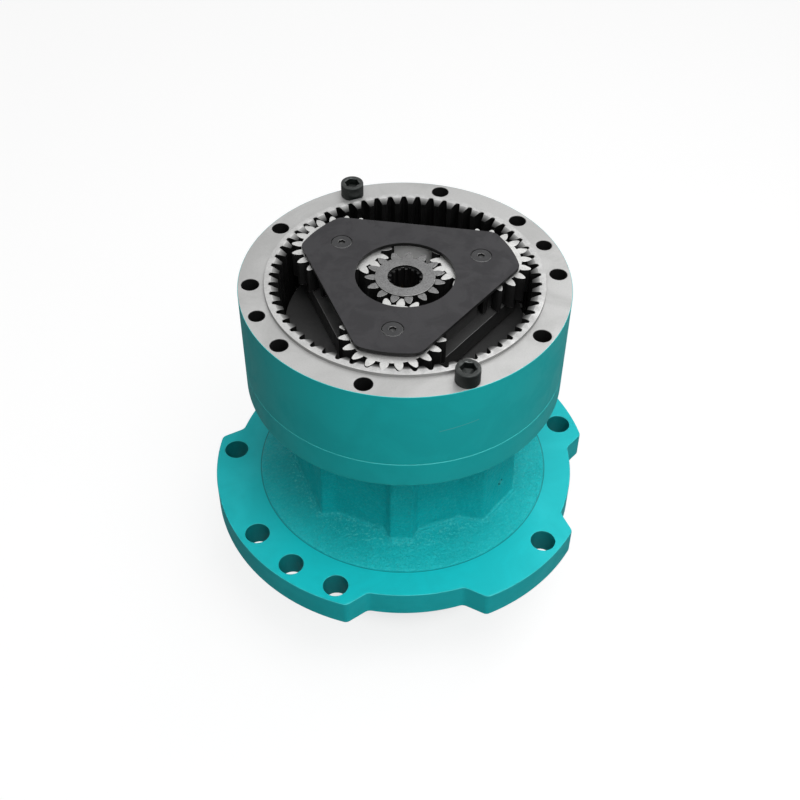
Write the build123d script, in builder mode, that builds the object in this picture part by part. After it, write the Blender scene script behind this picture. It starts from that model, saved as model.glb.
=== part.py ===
from build123d import *
from math import acos, cos, degrees, pi, radians, sin, tan
import os

# Planetary swing gearbox of a crawler excavator. Two planetary stages run in one long
# ring gear on top of a cast housing, and drive a pinion shaft that leaves through the
# base flange. Millimetres, +Z up along the output axis. The origin lies on that axis in
# the seat plane of the base flange.

# Base flange
base_thickness = 32.0
bolt_circle_radius = 191.0
bolt_hole_radius = 13.0
bolt_edge = 20.0               # from the bolt circle out to the edge of a lobe
waist_depth = 20.5             # of the outline between two lobes
base_lobe_run = 5.0            # degrees over which the outline climbs onto a lobe
base_lobes = ((-11.0, 37.0), (73.0, 127.0), (149.5, 232.5), (273.0, 309.0))
base_corner_fillet = 6.0
bolt_angles = (30.4, 120.4, 210.4, 300.4, 80.0, 154.6, 193.4, 227.0, 355.4)
cast_area_gap = 31.0           # from the bolt circle in to the raised cast area
cast_area_rise = 1.5

# Pilot spigot and nose under the seat plane
spigot_radius = 140.0
spigot_depth = 12.0
nose_radius = 110.0
nose_depth = 30.0
edge_chamfer = 1.5
seam_chamfer = 0.6

# Neck with its ribs, side pad and drain pad; their sides spread towards the axis, each
# spread in mm sideways per mm of depth
neck_sides = 8
neck_flat_radius = 103.5
neck_fillet = 3.0
rib_angles = (22.5, 67.5, 112.5, 247.5, 337.5)
rib_reach = 118.0
rib_half_width = 12.5
rib_spread = 0.30
side_pad_angle = 180.0
side_pad_reach = 113.0
side_pad_half_width = 47.0
side_pad_spread = 0.15
drain_pad_angle = 300.0
drain_pad_reach = 124.5
drain_pad_low = -17.0          # sideways from its angle, to either edge
drain_pad_high = 40.0
drain_pad_low_spread = 0.60
drain_pad_high_spread = 0.15
port_radius = 4.0
port_height = 68.0
port_side = 13.0
housing_height = 205.0
top_flange_thickness = 30.0

# Ring gear
ring_height = 90.0
register_wall = 4.5475         # of metal round the roots of the teeth
register_height = 3.5
lower_register = 8.0
tooth_end_slope = 7.0          # the tooth ends slope down over this length to their tips
tooth_end_drop = 2.8
screw_circle_gap = 13.5        # from the register out to the screw circle
screw_hole_radius = 8.75
case_edge = 12.5               # from the screw circle out to the painted wall
screw_angles = (18, 54, 90, 126, 162, 198, 234, 270, 306, 342)
dowel_radius = 8.0
dowel_length = 36.0
dowel_count = 2
tapped_depth = 26.0
register_seal_section = 3.0
register_seal_width = 5.0

# Cap screws that hold the ring gear, their heads in shallow spot faces
cap_screw_count = 2
cap_screw_start = 90.0
cap_seat_radius = 13.0
cap_seat_depth = 0.3
cap_screw_radius = 8.0
cap_head_radius = 12.0
cap_head_height = 16.0
cap_head_chamfer = 1.0
cap_socket = 14.0
cap_socket_depth = 8.0
cap_screw_length = 115.0

# Gear teeth of both planetary stages
gear_module = 4.55
pressure_angle = radians(20)
profile_shift = 0.20           # of a module, added to the suns and taken off the planets
root_clearance = 0.25          # of a module
ring_addendum = 1.0            # of a module, short enough for the roots of the planets
backlash = 0.50
ring_teeth = 57
sun_1_teeth = 15
planet_1_spared = 1            # teeth fewer than would fit, which makes the others stronger
ring_turn = -0.6               # degrees from the X axis to the ring gear's nearest tooth space
sun_2_teeth = 21
planet_count = 3

# First stage
planet_1_width = 28.0
pin_1_radius = 17.5
needle_1_depth = 5.5
thrust_washer = 1.2
washer_width = 8.0
end_play = 0.3
running_clearance = 0.05
top_plate_lift = 3.0
top_plate_thickness = 4.0
top_plate_bore = 49.5
carrier_corner_radius = 114.5
carrier_side_radius = 81.5
carrier_corner_fillet = 7.0
spider_1_thickness = 19.0
post_1_inner = 57.0
post_1_outer = 70.0
planet_room = 2.4
flat_head_radius = 10.0
flat_screw_radius = 5.0
flat_screw_length = 24.0
flat_socket = 6.0
flat_socket_depth = 3.0

# First sun gear, driven by the motor shaft
sun_1_rise = 3.0               # of the tooth ends over the motor face
sun_1_hub_lift = 1.0
sun_1_reach = 1.0              # of the sun below the planets
sun_1_hub_radius = 29.8
sun_1_lift = 0.3               # of the sun over the spacer
spline_root_share = 0.30       # of a tooth pitch, half a spline tooth's width at its root
spline_tip_share = 0.20
shaft_spline_teeth = 14
shaft_spline_inner = 14.4
shaft_spline_outer = 17.2
spline_lead = 2.0

# Second sun gear, splined into the first carrier
carrier_gap = 4.0
sun_2_neck_radius = 29.0
sun_2_spline_teeth = 18
sun_2_spline_inner = 30.0
sun_2_spline_outer = 34.0
sun_2_bore = 13.0
sun_2_drop = 7.0               # of its end under the top of the spider
sun_2_cut_out = 2.0            # of the neck past the teeth, where the cutter runs out
spline_gap = 0.12
snap_ring_thickness = 2.0
snap_ring_width = 7.0
snap_groove_depth = 3.0
snap_ring_opening = 8.0
spacer_radius = 26.0

# Second stage
planet_2_width = 36.0
pin_2_radius = 20.0
needle_2_depth = 6.0
carrier_2_gap = 4.125          # inside the tips of the ring gear's teeth
carrier_2_disc = 8.0
carrier_2_web = 10.5
carrier_2_eye = 60.0
carrier_2_hub_radius = 60.0
carrier_2_hub_length = 24.5
post_2_inner = 62.0
lock_pin_radius = 3.0
lock_pin_length = 18.0
lock_pin_inset = 4.0
cavity_gap = 3.0               # round the second carrier
cavity_floor_gap = 2.5

# Output shaft
output_spline_teeth = 24
output_spline_inner = 42.0
output_spline_outer = 46.5
upper_journal_radius = 50.0
shaft_middle_radius = 52.5
lower_journal_radius = 55.0
retainer_thickness = 7.0
retainer_radius = 49.5
retainer_clearance = 0.3
retainer_screw_count = 3
retainer_screw_circle = 30.0
retainer_head_radius = 11.0
retainer_screw_radius = 6.0
retainer_screw_length = 30.0
retainer_socket = 8.0
retainer_socket_depth = 4.0
pinion_module = 8.0
pinion_teeth = 13
pinion_width = 76.0
centre_drill_radius = 5.0
centre_drill_depth = 14.0

# Tapered roller bearings, their cups against the shoulders in the housing
lower_bearing_radius = 95.0
lower_bearing_width = 50.0
lower_bearing_drop = 5.0
lower_orbit_radius = 76.0
lower_roller_radius = 10.0
upper_bearing_radius = 90.0
upper_bearing_width = 46.0
upper_orbit_radius = 70.5
upper_roller_radius = 9.0
roller_count = 19
roller_share = 0.74            # of the bearing's width, filled by a roller
roller_tilt = radians(13)
roller_taper = radians(2.4)
roller_clearance = 0.08
middle_cavity_radius = 84.0
upper_shoulder_radius = 80.0
upper_shoulder_height = 10.0

# Shaft seal under the lower bearing
collar_radius = 70.0
collar_length = 30.0
seal_radius = 84.0
seal_width = 15.0
seal_lip = 4.0
seal_carrier_width = 20.0
circlip_thickness = 2.8
circlip_width = 5.0
circlip_groove_depth = 3.0

# How closely a size has to match when an edge is looked up by its radius
same_size = 0.01

# Levels, from the motor face downwards
motor_face = housing_height + ring_height
register_top = motor_face + register_height
ring_bottom = housing_height - lower_register
seal_ledge = ring_bottom - register_seal_section
cap_seat = motor_face - cap_seat_depth
plate_bottom = motor_face + top_plate_lift
plate_top = plate_bottom + top_plate_thickness
planet_1_top = plate_bottom - thrust_washer - end_play
planet_1_bottom = planet_1_top - planet_1_width
spider_top = planet_1_bottom - end_play - thrust_washer
spider_bottom = spider_top - spider_1_thickness
sun_1_top = motor_face + sun_1_rise
sun_1_bottom = planet_1_bottom - sun_1_reach
sun_2_top = spider_top - sun_2_drop
disc_top = spider_bottom - carrier_gap
disc_bottom = disc_top - carrier_2_disc
planet_2_top = disc_bottom - thrust_washer - end_play
planet_2_bottom = planet_2_top - planet_2_width
web_top = planet_2_bottom - end_play - thrust_washer
web_bottom = web_top - carrier_2_web
cavity_floor = web_bottom - cavity_floor_gap
hub_bottom = web_bottom - carrier_2_hub_length
shaft_top = web_top - retainer_thickness
upper_bearing_bottom = hub_bottom - upper_bearing_width
lower_bearing_bottom = -lower_bearing_drop
lower_bearing_top = lower_bearing_bottom + lower_bearing_width
collar_bottom = lower_bearing_bottom - collar_length
pinion_bottom = collar_bottom - pinion_width
carrier_bottom = lower_bearing_bottom - seal_carrier_width
snap_bottom = sun_2_top + sun_1_lift
snap_groove_radius = sun_2_spline_outer + spline_gap + snap_groove_depth
flat_neck_radius = flat_head_radius - top_plate_thickness
retainer_head_bottom = web_top - retainer_head_radius + retainer_screw_radius

# Gear sizes that follow from the teeth
planet_1_teeth = (ring_teeth - sun_1_teeth) // 2 - planet_1_spared
planet_2_teeth = (ring_teeth - sun_2_teeth) // 2
centre_1 = (ring_teeth + sun_1_teeth) * gear_module / 4
centre_2 = (ring_teeth + sun_2_teeth) * gear_module / 4
ring_pitch = ring_teeth * gear_module / 2
ring_space = gear_module * (pi / 2 - 2 * profile_shift * tan(pressure_angle)) + backlash / 2
ring_tip = ring_pitch - ring_addendum * gear_module
ring_root = ring_pitch + (1 - profile_shift + root_clearance) * gear_module
pinion_tip = (pinion_teeth / 2 + 1 + profile_shift) * pinion_module
pinion_root = (pinion_teeth / 2 - 1 + profile_shift - root_clearance) * pinion_module
pinion_tooth = pinion_module * (pi / 2 + 2 * profile_shift * tan(pressure_angle)) - backlash / 2
planet_1_bore = pin_1_radius + needle_1_depth + running_clearance
planet_2_bore = pin_2_radius + needle_2_depth + running_clearance

# Radii that follow from the bolt circle and from the ring gear
base_lobe_radius = bolt_circle_radius + bolt_edge
base_waist_radius = base_lobe_radius - waist_depth
cast_area_radius = bolt_circle_radius - cast_area_gap
register_radius = ring_root + register_wall
screw_circle_radius = register_radius + screw_circle_gap
case_radius = screw_circle_radius + case_edge
carrier_2_radius = ring_tip - carrier_2_gap
cavity_radius = carrier_2_radius + cavity_gap


def involute(angle):
    """Involute function of an angle in radians."""
    return tan(angle) - angle


def half_tooth(teeth, module, width, radius):
    """Half angle in radians that a tooth, this wide on its pitch circle, fills at a radius."""
    pitch = teeth * module / 2
    base = pitch * cos(pressure_angle)
    local = acos(base / max(radius, base))
    return width / (2 * pitch) + involute(pressure_angle) - involute(local)


def shift_sum(teeth, distance):
    """Profile shift that a pair needs at a centre distance.

    The teeth are the sum of both gears, or with a ring gear the difference.
    """
    working = acos(teeth * gear_module / 2 / distance * cos(pressure_angle))
    return teeth * (involute(working) - involute(pressure_angle)) / (2 * tan(pressure_angle))


def gear_sizes(teeth, shift):
    """Tooth width on the pitch circle, root radius and tip radius of a sun or planet."""
    width = gear_module * (pi / 2 + 2 * shift * tan(pressure_angle)) - backlash / 2
    root = (teeth / 2 - 1 - root_clearance + shift) * gear_module
    tip = (teeth / 2 + 1 + shift) * gear_module
    return width, root, tip


def planet_phase(teeth):
    """Angle in degrees of a planet's first tooth, which stands in a space of the ring gear."""
    return ring_turn * ring_teeth / teeth


def sun_phase(teeth, planet_teeth):
    """Angle in degrees of a sun's first tooth, beside a tooth or space of the planet."""
    facing_tooth = planet_teeth % 2 == 0
    return (180 / teeth if facing_tooth else 0) - ring_turn * ring_teeth / teeth


# Teeth of both stages, their shifts fitted to the ring gear and the centre distances
planet_1_shift = -profile_shift - shift_sum(ring_teeth - planet_1_teeth, centre_1)
planet_2_shift = -profile_shift - shift_sum(ring_teeth - planet_2_teeth, centre_2)
sun_1_shift = shift_sum(sun_1_teeth + planet_1_teeth, centre_1) - planet_1_shift
sun_2_shift = shift_sum(sun_2_teeth + planet_2_teeth, centre_2) - planet_2_shift
planet_1_tooth, planet_1_root, planet_1_tip = gear_sizes(planet_1_teeth, planet_1_shift)
planet_2_tooth, planet_2_root, planet_2_tip = gear_sizes(planet_2_teeth, planet_2_shift)
sun_1_tooth, sun_1_root, sun_1_tip = gear_sizes(sun_1_teeth, sun_1_shift)
sun_2_tooth, sun_2_root, sun_2_tip = gear_sizes(sun_2_teeth, sun_2_shift)


def polar(radius, angle):
    """Point at a radius and an angle in radians."""
    return (radius * cos(angle), radius * sin(angle))


def gear_outline(teeth, module, width, inner, outer, phase=0.0):
    """Face of a gear in the open sketch: one arc for each flank, tip and root."""
    step = 2 * pi / teeth
    middle = (inner + outer) / 2
    low = half_tooth(teeth, module, width, inner)
    mid = half_tooth(teeth, module, width, middle)
    high = half_tooth(teeth, module, width, outer)
    with BuildLine() as outline:
        for number in range(teeth):
            at = radians(phase) + number * step
            rest = at + step - low
            ThreePointArc(polar(inner, at - low), polar(middle, at - mid), polar(outer, at - high))
            ThreePointArc(polar(outer, at - high), polar(outer, at), polar(outer, at + high))
            ThreePointArc(polar(outer, at + high), polar(middle, at + mid), polar(inner, at + low))
            ThreePointArc(polar(inner, at + low), polar(inner, at + step / 2), polar(inner, rest))
    make_face(outline.edges())


def spline_outline(teeth, inner, outer, gap=0.0):
    """Face of a straight-sided spline in the open sketch, grown by a gap for its socket."""
    step = 2 * pi / teeth
    low = spline_root_share * step + gap / inner
    high = spline_tip_share * step + gap / outer
    root = inner + gap
    tip = outer + gap
    with BuildLine() as outline:
        for number in range(teeth):
            at = number * step
            rest = at + step - low
            Line(polar(root, at - low), polar(tip, at - high))
            ThreePointArc(polar(tip, at - high), polar(tip, at), polar(tip, at + high))
            Line(polar(tip, at + high), polar(root, at + low))
            ThreePointArc(polar(root, at + low), polar(root, at + step / 2), polar(root, rest))
    make_face(outline.edges())


def add_ring(inner, outer, bottom, top, mode=Mode.ADD):
    """Ring round the Z axis, or a disc where the inner radius is 0."""
    with BuildSketch(Plane.XY.offset(bottom)) as sketch:
        Circle(outer)
        if inner > 0:
            Circle(inner, mode=Mode.SUBTRACT)
    extrude(sketch.sketch, amount=top - bottom, mode=mode)


def add_rounds(circle, count, start, outer, bottom, top, inner=0.0, mode=Mode.ADD):
    """Equal discs, or rings, spread round the Z axis on a circle."""
    with BuildSketch(Plane.XY.offset(bottom)) as sketch:
        with PolarLocations(circle, count, start_angle=start):
            Circle(outer)
            if inner > 0:
                Circle(inner, mode=Mode.SUBTRACT)
    extrude(sketch.sketch, amount=top - bottom, mode=mode)


def add_holes(circle, angles, radius, bottom, top):
    """Round holes on a circle round the Z axis, at angles in degrees."""
    with BuildSketch(Plane.XY.offset(bottom)) as sketch:
        with Locations(*[polar(circle, radians(angle)) for angle in angles]):
            Circle(radius)
    extrude(sketch.sketch, amount=top - bottom, mode=Mode.SUBTRACT)


def add_sockets(circle, count, start, size, top, depth):
    """Hexagon sockets of a size across flats, sunk from a level into screw heads."""
    with BuildSketch(Plane.XY.offset(top)) as sketch:
        with PolarLocations(circle, count, start_angle=start):
            RegularPolygon(size / 2, 6, major_radius=False)
    extrude(sketch.sketch, amount=-depth, mode=Mode.SUBTRACT)


def add_cones(circle, count, low, high, bottom, top, mode=Mode.ADD):
    """Upright cones on a circle, such as the heads of flat screws and their seats."""
    with PolarLocations(circle, count):
        with Locations((0, 0, bottom)):
            upright = (Align.CENTER, Align.CENTER, Align.MIN)
            Cone(low, high, top - bottom, align=upright, mode=mode)


def add_lock_pins(outer, mode=Mode.ADD):
    """Radial lock pins, or their holes, from a radius into the second planet pins."""
    inner = carrier_2_radius - lock_pin_inset - lock_pin_length
    with PolarLocations(0, planet_count):
        with Locations(Location((inner, 0, (web_bottom + web_top) / 2), (0, 90, 0))):
            upright = (Align.CENTER, Align.CENTER, Align.MIN)
            Cylinder(lock_pin_radius, outer - inner, align=upright, mode=mode)


def carrier_outline():
    """Three-sided carrier outline, its corners on a circle and over the planets."""
    Circle(carrier_corner_radius)
    RegularPolygon(carrier_side_radius, 3, major_radius=False, mode=Mode.INTERSECT)
    fillet(vertices(), carrier_corner_fillet)


def post_outline(inner, outer, centre, clear, limit):
    """Posts that fill the room between the planets, hollow-sided round each of them."""
    half_way = 180 / planet_count
    with PolarLocations((inner + outer) / 2, planet_count, start_angle=half_way):
        Rectangle(outer - inner, 2 * centre * sin(radians(half_way)))
    with PolarLocations(centre, planet_count):
        Circle(clear, mode=Mode.SUBTRACT)
    Circle(limit, mode=Mode.INTERSECT)


def planet_plane(centre, number, level):
    """Plane at a planet's centre, its X axis pointing away from the Z axis."""
    angle = 2 * pi * number / planet_count
    return Plane(origin=(*polar(centre, angle), level), x_dir=(*polar(1, angle), 0), z_dir=(0, 0, 1))


def base_outline():
    """Face of the base flange, with lobes round its bolts and waists between them."""
    with BuildLine() as outline:
        for number, (start, end) in enumerate(base_lobes):
            turn = 360 if number + 1 == len(base_lobes) else 0
            following = base_lobes[(number + 1) % len(base_lobes)][0] + turn
            leave = radians(end + base_lobe_run)
            climb = radians(following - base_lobe_run)
            first, last = radians(start), radians(end)
            waist = base_waist_radius
            lobe = base_lobe_radius
            ThreePointArc(polar(lobe, first), polar(lobe, (first + last) / 2), polar(lobe, last))
            Line(polar(lobe, last), polar(waist, leave))
            ThreePointArc(polar(waist, leave), polar(waist, (leave + climb) / 2), polar(waist, climb))
            Line(polar(waist, climb), polar(lobe, radians(following)))
    make_face(outline.edges())
    fillet(vertices(), base_corner_fillet)


def neck_boss(angle, reach, low, high, low_spread, high_spread):
    """Plan of a rib or pad of the neck in the open sketch, wider towards the Z axis."""
    with Locations(Rotation(0, 0, angle)):
        Polygon(
            (reach, low),
            (reach, high),
            (0, high + high_spread * reach),
            (0, low - low_spread * reach),
            align=None,
        )


def race_point(orbit, level, facing, along, reach):
    """Point (radius, height) beside a roller's axis, along it and square to it."""
    radius = orbit + along * sin(roller_tilt) + reach * cos(roller_tilt)
    height = level + facing * (along * cos(roller_tilt) - reach * sin(roller_tilt))
    return radius, height


def race_radius(orbit, level, facing, length, size, side, height):
    """Radius of a race at a height: side 1 is the cup's race and -1 the cone's."""
    swell = length / 2 * tan(roller_taper)
    wide = side * (size + swell + roller_clearance)
    narrow = side * (size - swell + roller_clearance)
    far_radius, far_height = race_point(orbit, level, facing, length / 2, wide)
    near_radius, near_height = race_point(orbit, level, facing, -length / 2, narrow)
    slope = (far_radius - near_radius) / (far_height - near_height)
    return near_radius + slope * (height - near_height)


def add_cup(radius, orbit, size, bottom, width, facing):
    """Outer ring of a tapered roller bearing, wide end towards facing."""
    level, length = bottom + width / 2, width * roller_share
    low, high = (
        race_radius(orbit, level, facing, length, size, 1, height) for height in (bottom, bottom + width)
    )
    top = bottom + width
    with BuildSketch(Plane.XZ) as sketch:
        with BuildLine():
            Polyline((low, bottom), (radius, bottom), (radius, top), (high, top), close=True)
        make_face()
    revolve(sketch.sketch, axis=Axis.Z)


def add_cone(bore, orbit, size, bottom, width, facing):
    """Inner ring of a tapered roller bearing, wide end towards facing."""
    level, length = bottom + width / 2, width * roller_share
    low, high = (
        race_radius(orbit, level, facing, length, size, -1, height) for height in (bottom, bottom + width)
    )
    top = bottom + width
    with BuildSketch(Plane.XZ) as sketch:
        with BuildLine():
            Polyline((bore, bottom), (low, bottom), (high, top), (bore, top), close=True)
        make_face()
    revolve(sketch.sketch, axis=Axis.Z)


def add_rollers(orbit, size, bottom, width, facing):
    """Rollers of a tapered roller bearing, wide ends towards facing."""
    length = width * roller_share
    swell = length / 2 * tan(roller_taper)
    tilt = degrees(roller_tilt) if facing > 0 else 180 - degrees(roller_tilt)
    with PolarLocations(0, roller_count):
        with Locations(Location((orbit, 0, bottom + width / 2), (0, tilt, 0))):
            Cone(size - swell, size + swell, length)


def finish(piece, name):
    """Label a finished piece and write it."""
    piece.part.label = name
    export_step(piece.part, f"parts/{name}.step")


os.makedirs("parts", exist_ok=True)

# Housing: base flange, ribbed neck, top flange and nose in one casting
with BuildPart() as housing:
    with BuildSketch():
        base_outline()
    extrude(amount=base_thickness)
    add_ring(0, cast_area_radius, base_thickness, base_thickness + cast_area_rise)
    with BuildSketch(Plane.XY.offset(base_thickness)):
        RegularPolygon(neck_flat_radius, neck_sides, major_radius=False, rotation=180 / neck_sides)
        for angle in rib_angles:
            neck_boss(angle, rib_reach, -rib_half_width, rib_half_width, rib_spread, rib_spread)
        neck_boss(
            side_pad_angle,
            side_pad_reach,
            -side_pad_half_width,
            side_pad_half_width,
            side_pad_spread,
            side_pad_spread,
        )
        neck_boss(
            drain_pad_angle,
            drain_pad_reach,
            drain_pad_low,
            drain_pad_high,
            drain_pad_low_spread,
            drain_pad_high_spread,
        )
        fillet(vertices(), neck_fillet)
    extrude(amount=housing_height - top_flange_thickness - base_thickness)
    add_ring(0, case_radius, housing_height - top_flange_thickness, housing_height)
    add_ring(0, spigot_radius, -spigot_depth, 0)
    add_ring(0, nose_radius, -nose_depth, -spigot_depth)
    rims = edges().filter_by(GeomType.CIRCLE).sort_by(Axis.Z)
    case_rims = rims.filter_by(lambda rim: abs(rim.radius - case_radius) < same_size)
    chamfer(case_rims[0], edge_chamfer)
    chamfer(case_rims[-1], seam_chamfer)
    chamfer(rims.filter_by(lambda rim: abs(rim.radius - spigot_radius) < same_size)[0], edge_chamfer)
    with BuildSketch(Plane.XZ):
        with BuildLine():
            Polyline(
                (0, -nose_depth),
                (lower_bearing_radius, -nose_depth),
                (lower_bearing_radius, lower_bearing_top),
                (middle_cavity_radius, lower_bearing_top),
                (middle_cavity_radius, upper_bearing_bottom - upper_shoulder_height),
                (upper_shoulder_radius, upper_bearing_bottom - upper_shoulder_height),
                (upper_shoulder_radius, upper_bearing_bottom),
                (upper_bearing_radius, upper_bearing_bottom),
                (upper_bearing_radius, cavity_floor),
                (cavity_radius, cavity_floor),
                (cavity_radius, seal_ledge),
                (register_radius, seal_ledge),
                (register_radius, housing_height),
                (0, housing_height),
                close=True,
            )
        make_face()
    revolve(axis=Axis.Z, mode=Mode.SUBTRACT)
    groove = lower_bearing_radius + circlip_groove_depth
    add_ring(0, groove, carrier_bottom - circlip_thickness, carrier_bottom, mode=Mode.SUBTRACT)
    add_holes(bolt_circle_radius, bolt_angles, bolt_hole_radius, 0, base_thickness)
    tapped_bottom = housing_height - tapped_depth
    dowel_bottom = housing_height - dowel_length / 2
    add_holes(screw_circle_radius, screw_angles, cap_screw_radius, tapped_bottom, housing_height)
    add_rounds(
        screw_circle_radius, dowel_count, 0, dowel_radius, dowel_bottom, housing_height, mode=Mode.SUBTRACT
    )
    port_way = Vector(1, 0, 0).rotate(Axis.Z, drain_pad_angle)
    with BuildSketch(Plane(origin=(0, 0, port_height), x_dir=(0, 0, 1), z_dir=port_way)):
        with Locations((0, -port_side)):
            Circle(port_radius)
    extrude(amount=drain_pad_reach, mode=Mode.SUBTRACT)
finish(housing, "housing")

# Ring gear, toothed over its whole height
with BuildPart() as ring_gear:
    add_ring(0, register_radius, ring_bottom, register_top)
    add_ring(0, case_radius, housing_height, motor_face)
    rims = edges().filter_by(GeomType.CIRCLE).sort_by(Axis.Z)
    case_rims = rims.filter_by(lambda rim: abs(rim.radius - case_radius) < same_size)
    chamfer(case_rims[-1], edge_chamfer)
    chamfer(case_rims[0], seam_chamfer)
    with BuildSketch(Plane.XY.offset(ring_bottom)):
        gear_outline(ring_teeth, gear_module, ring_space, ring_tip, ring_root, ring_turn)
    extrude(amount=register_top - ring_bottom, mode=Mode.SUBTRACT)
    with BuildSketch(Plane.XZ):
        Polygon(
            (ring_tip + tooth_end_slope, register_top),
            (ring_tip - tooth_end_slope, register_top),
            (ring_tip - tooth_end_slope, register_top - 2 * tooth_end_drop),
            align=None,
        )
    revolve(axis=Axis.Z, mode=Mode.SUBTRACT)
    add_holes(screw_circle_radius, screw_angles, screw_hole_radius, housing_height, motor_face)
    add_rounds(
        screw_circle_radius, dowel_count, 0, dowel_radius, housing_height, motor_face, mode=Mode.SUBTRACT
    )
    add_rounds(
        screw_circle_radius,
        cap_screw_count,
        cap_screw_start,
        cap_seat_radius,
        cap_seat,
        motor_face,
        mode=Mode.SUBTRACT,
    )
finish(ring_gear, "ring_gear")

# Two of the ring gear's screws, the ones that are not shared with the motor
with BuildPart() as ring_cap_screws:
    cap_top = cap_seat + cap_head_height
    cap_end = cap_seat - cap_screw_length
    add_rounds(screw_circle_radius, cap_screw_count, cap_screw_start, cap_head_radius, cap_seat, cap_top)
    chamfer(faces().filter_by(Axis.Z).group_by(Axis.Z)[-1].edges(), cap_head_chamfer)
    add_rounds(screw_circle_radius, cap_screw_count, cap_screw_start, cap_screw_radius, cap_end, cap_seat)
    add_sockets(
        screw_circle_radius, cap_screw_count, cap_screw_start, cap_socket, cap_top, cap_socket_depth
    )
finish(ring_cap_screws, "ring_cap_screws")

# Dowels across the joint, driven in through the open holes above them
with BuildPart() as ring_dowels:
    dowel_top = dowel_bottom + dowel_length
    add_rounds(screw_circle_radius, dowel_count, 0, dowel_radius, dowel_bottom, dowel_top)
finish(ring_dowels, "ring_dowels")

# Seal ring under the ring gear's lower register
with BuildPart() as register_seal:
    add_ring(register_radius - register_seal_width, register_radius, seal_ledge, ring_bottom)
finish(register_seal, "register_seal")

# First carrier: splined plate with three hollow-sided posts
with BuildPart() as carrier_1_spider:
    with BuildSketch(Plane.XY.offset(spider_bottom)):
        carrier_outline()
    extrude(amount=spider_1_thickness)
    with BuildSketch(Plane.XY.offset(spider_top)):
        post_outline(post_1_inner, post_1_outer, centre_1, planet_1_tip + planet_room, carrier_corner_radius)
    extrude(amount=plate_bottom - spider_top)
    with BuildSketch(Plane.XY.offset(spider_bottom)):
        spline_outline(sun_2_spline_teeth, sun_2_spline_inner, sun_2_spline_outer, spline_gap)
    extrude(amount=spider_1_thickness, mode=Mode.SUBTRACT)
    add_rounds(centre_1, planet_count, 0, pin_1_radius, spider_bottom, spider_top, mode=Mode.SUBTRACT)
    add_ring(0, snap_groove_radius, snap_bottom, snap_bottom + snap_ring_thickness, mode=Mode.SUBTRACT)
finish(carrier_1_spider, "carrier_1_spider")

# Plate over the first planets
with BuildPart() as carrier_1_top_plate:
    with BuildSketch(Plane.XY.offset(plate_bottom)):
        carrier_outline()
        Circle(top_plate_bore, mode=Mode.SUBTRACT)
    extrude(amount=top_plate_thickness)
    add_cones(
        centre_1,
        planet_count,
        flat_neck_radius,
        flat_head_radius,
        plate_bottom,
        plate_top,
        mode=Mode.SUBTRACT,
    )
finish(carrier_1_top_plate, "carrier_1_top_plate")

# Flat screws that hold the plate down on the planet pins
with BuildPart() as top_plate_screws:
    add_rounds(centre_1, planet_count, 0, flat_screw_radius, plate_top - flat_screw_length, plate_bottom)
    add_cones(centre_1, planet_count, flat_neck_radius, flat_head_radius, plate_bottom, plate_top)
    add_sockets(centre_1, planet_count, 0, flat_socket, plate_top, flat_socket_depth)
finish(top_plate_screws, "top_plate_screws")

# Planet pins of the first stage, tapped for the flat screws
with BuildPart() as stage_1_pins:
    add_rounds(centre_1, planet_count, 0, pin_1_radius, spider_bottom, plate_bottom)
    tapped_bottom = plate_top - flat_screw_length - flat_socket_depth
    add_rounds(centre_1, planet_count, 0, flat_screw_radius, tapped_bottom, plate_bottom, mode=Mode.SUBTRACT)
finish(stage_1_pins, "stage_1_pins")

# Needle bearings of the first planets, each set drawn as one sleeve
with BuildPart() as stage_1_needle_bearings:
    needle_radius = pin_1_radius + needle_1_depth
    low, high = spider_top + thrust_washer, plate_bottom - thrust_washer
    add_rounds(centre_1, planet_count, 0, needle_radius, low, high, inner=pin_1_radius)
finish(stage_1_needle_bearings, "stage_1_needle_bearings")

# Thrust washers under and over the first planets
with BuildPart() as stage_1_washers:
    washer_radius = pin_1_radius + washer_width
    for low in (spider_top, plate_bottom - thrust_washer):
        add_rounds(centre_1, planet_count, 0, washer_radius, low, low + thrust_washer, inner=pin_1_radius)
finish(stage_1_washers, "stage_1_washers")

# Planets of the first stage
for number, letter in enumerate("abc"):
    with BuildPart() as planet_1:
        with BuildSketch(planet_plane(centre_1, number, planet_1_bottom)):
            phase = planet_phase(planet_1_teeth)
            gear_outline(planet_1_teeth, gear_module, planet_1_tooth, planet_1_root, planet_1_tip, phase)
            Circle(planet_1_bore, mode=Mode.SUBTRACT)
        extrude(amount=planet_1_width)
    finish(planet_1, f"planet_1{letter}")

# First sun gear with the socket for the motor shaft
with BuildPart() as sun_gear_1:
    hub_top = sun_1_top + sun_1_hub_lift
    with BuildSketch(Plane.XY.offset(sun_1_bottom)):
        phase = sun_phase(sun_1_teeth, planet_1_teeth)
        gear_outline(sun_1_teeth, gear_module, sun_1_tooth, sun_1_root, sun_1_tip, phase)
    extrude(amount=sun_1_top - sun_1_bottom)
    add_ring(0, sun_1_hub_radius, sun_1_top, hub_top)
    with BuildSketch(Plane.XY.offset(sun_1_bottom)):
        spline_outline(shaft_spline_teeth, shaft_spline_inner, shaft_spline_outer)
    extrude(amount=hub_top - sun_1_bottom, mode=Mode.SUBTRACT)
    lead_radius = shaft_spline_outer + spline_lead
    add_cones(0, 1, shaft_spline_inner, lead_radius, hub_top - spline_lead, hub_top, mode=Mode.SUBTRACT)
finish(sun_gear_1, "sun_gear_1")

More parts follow.
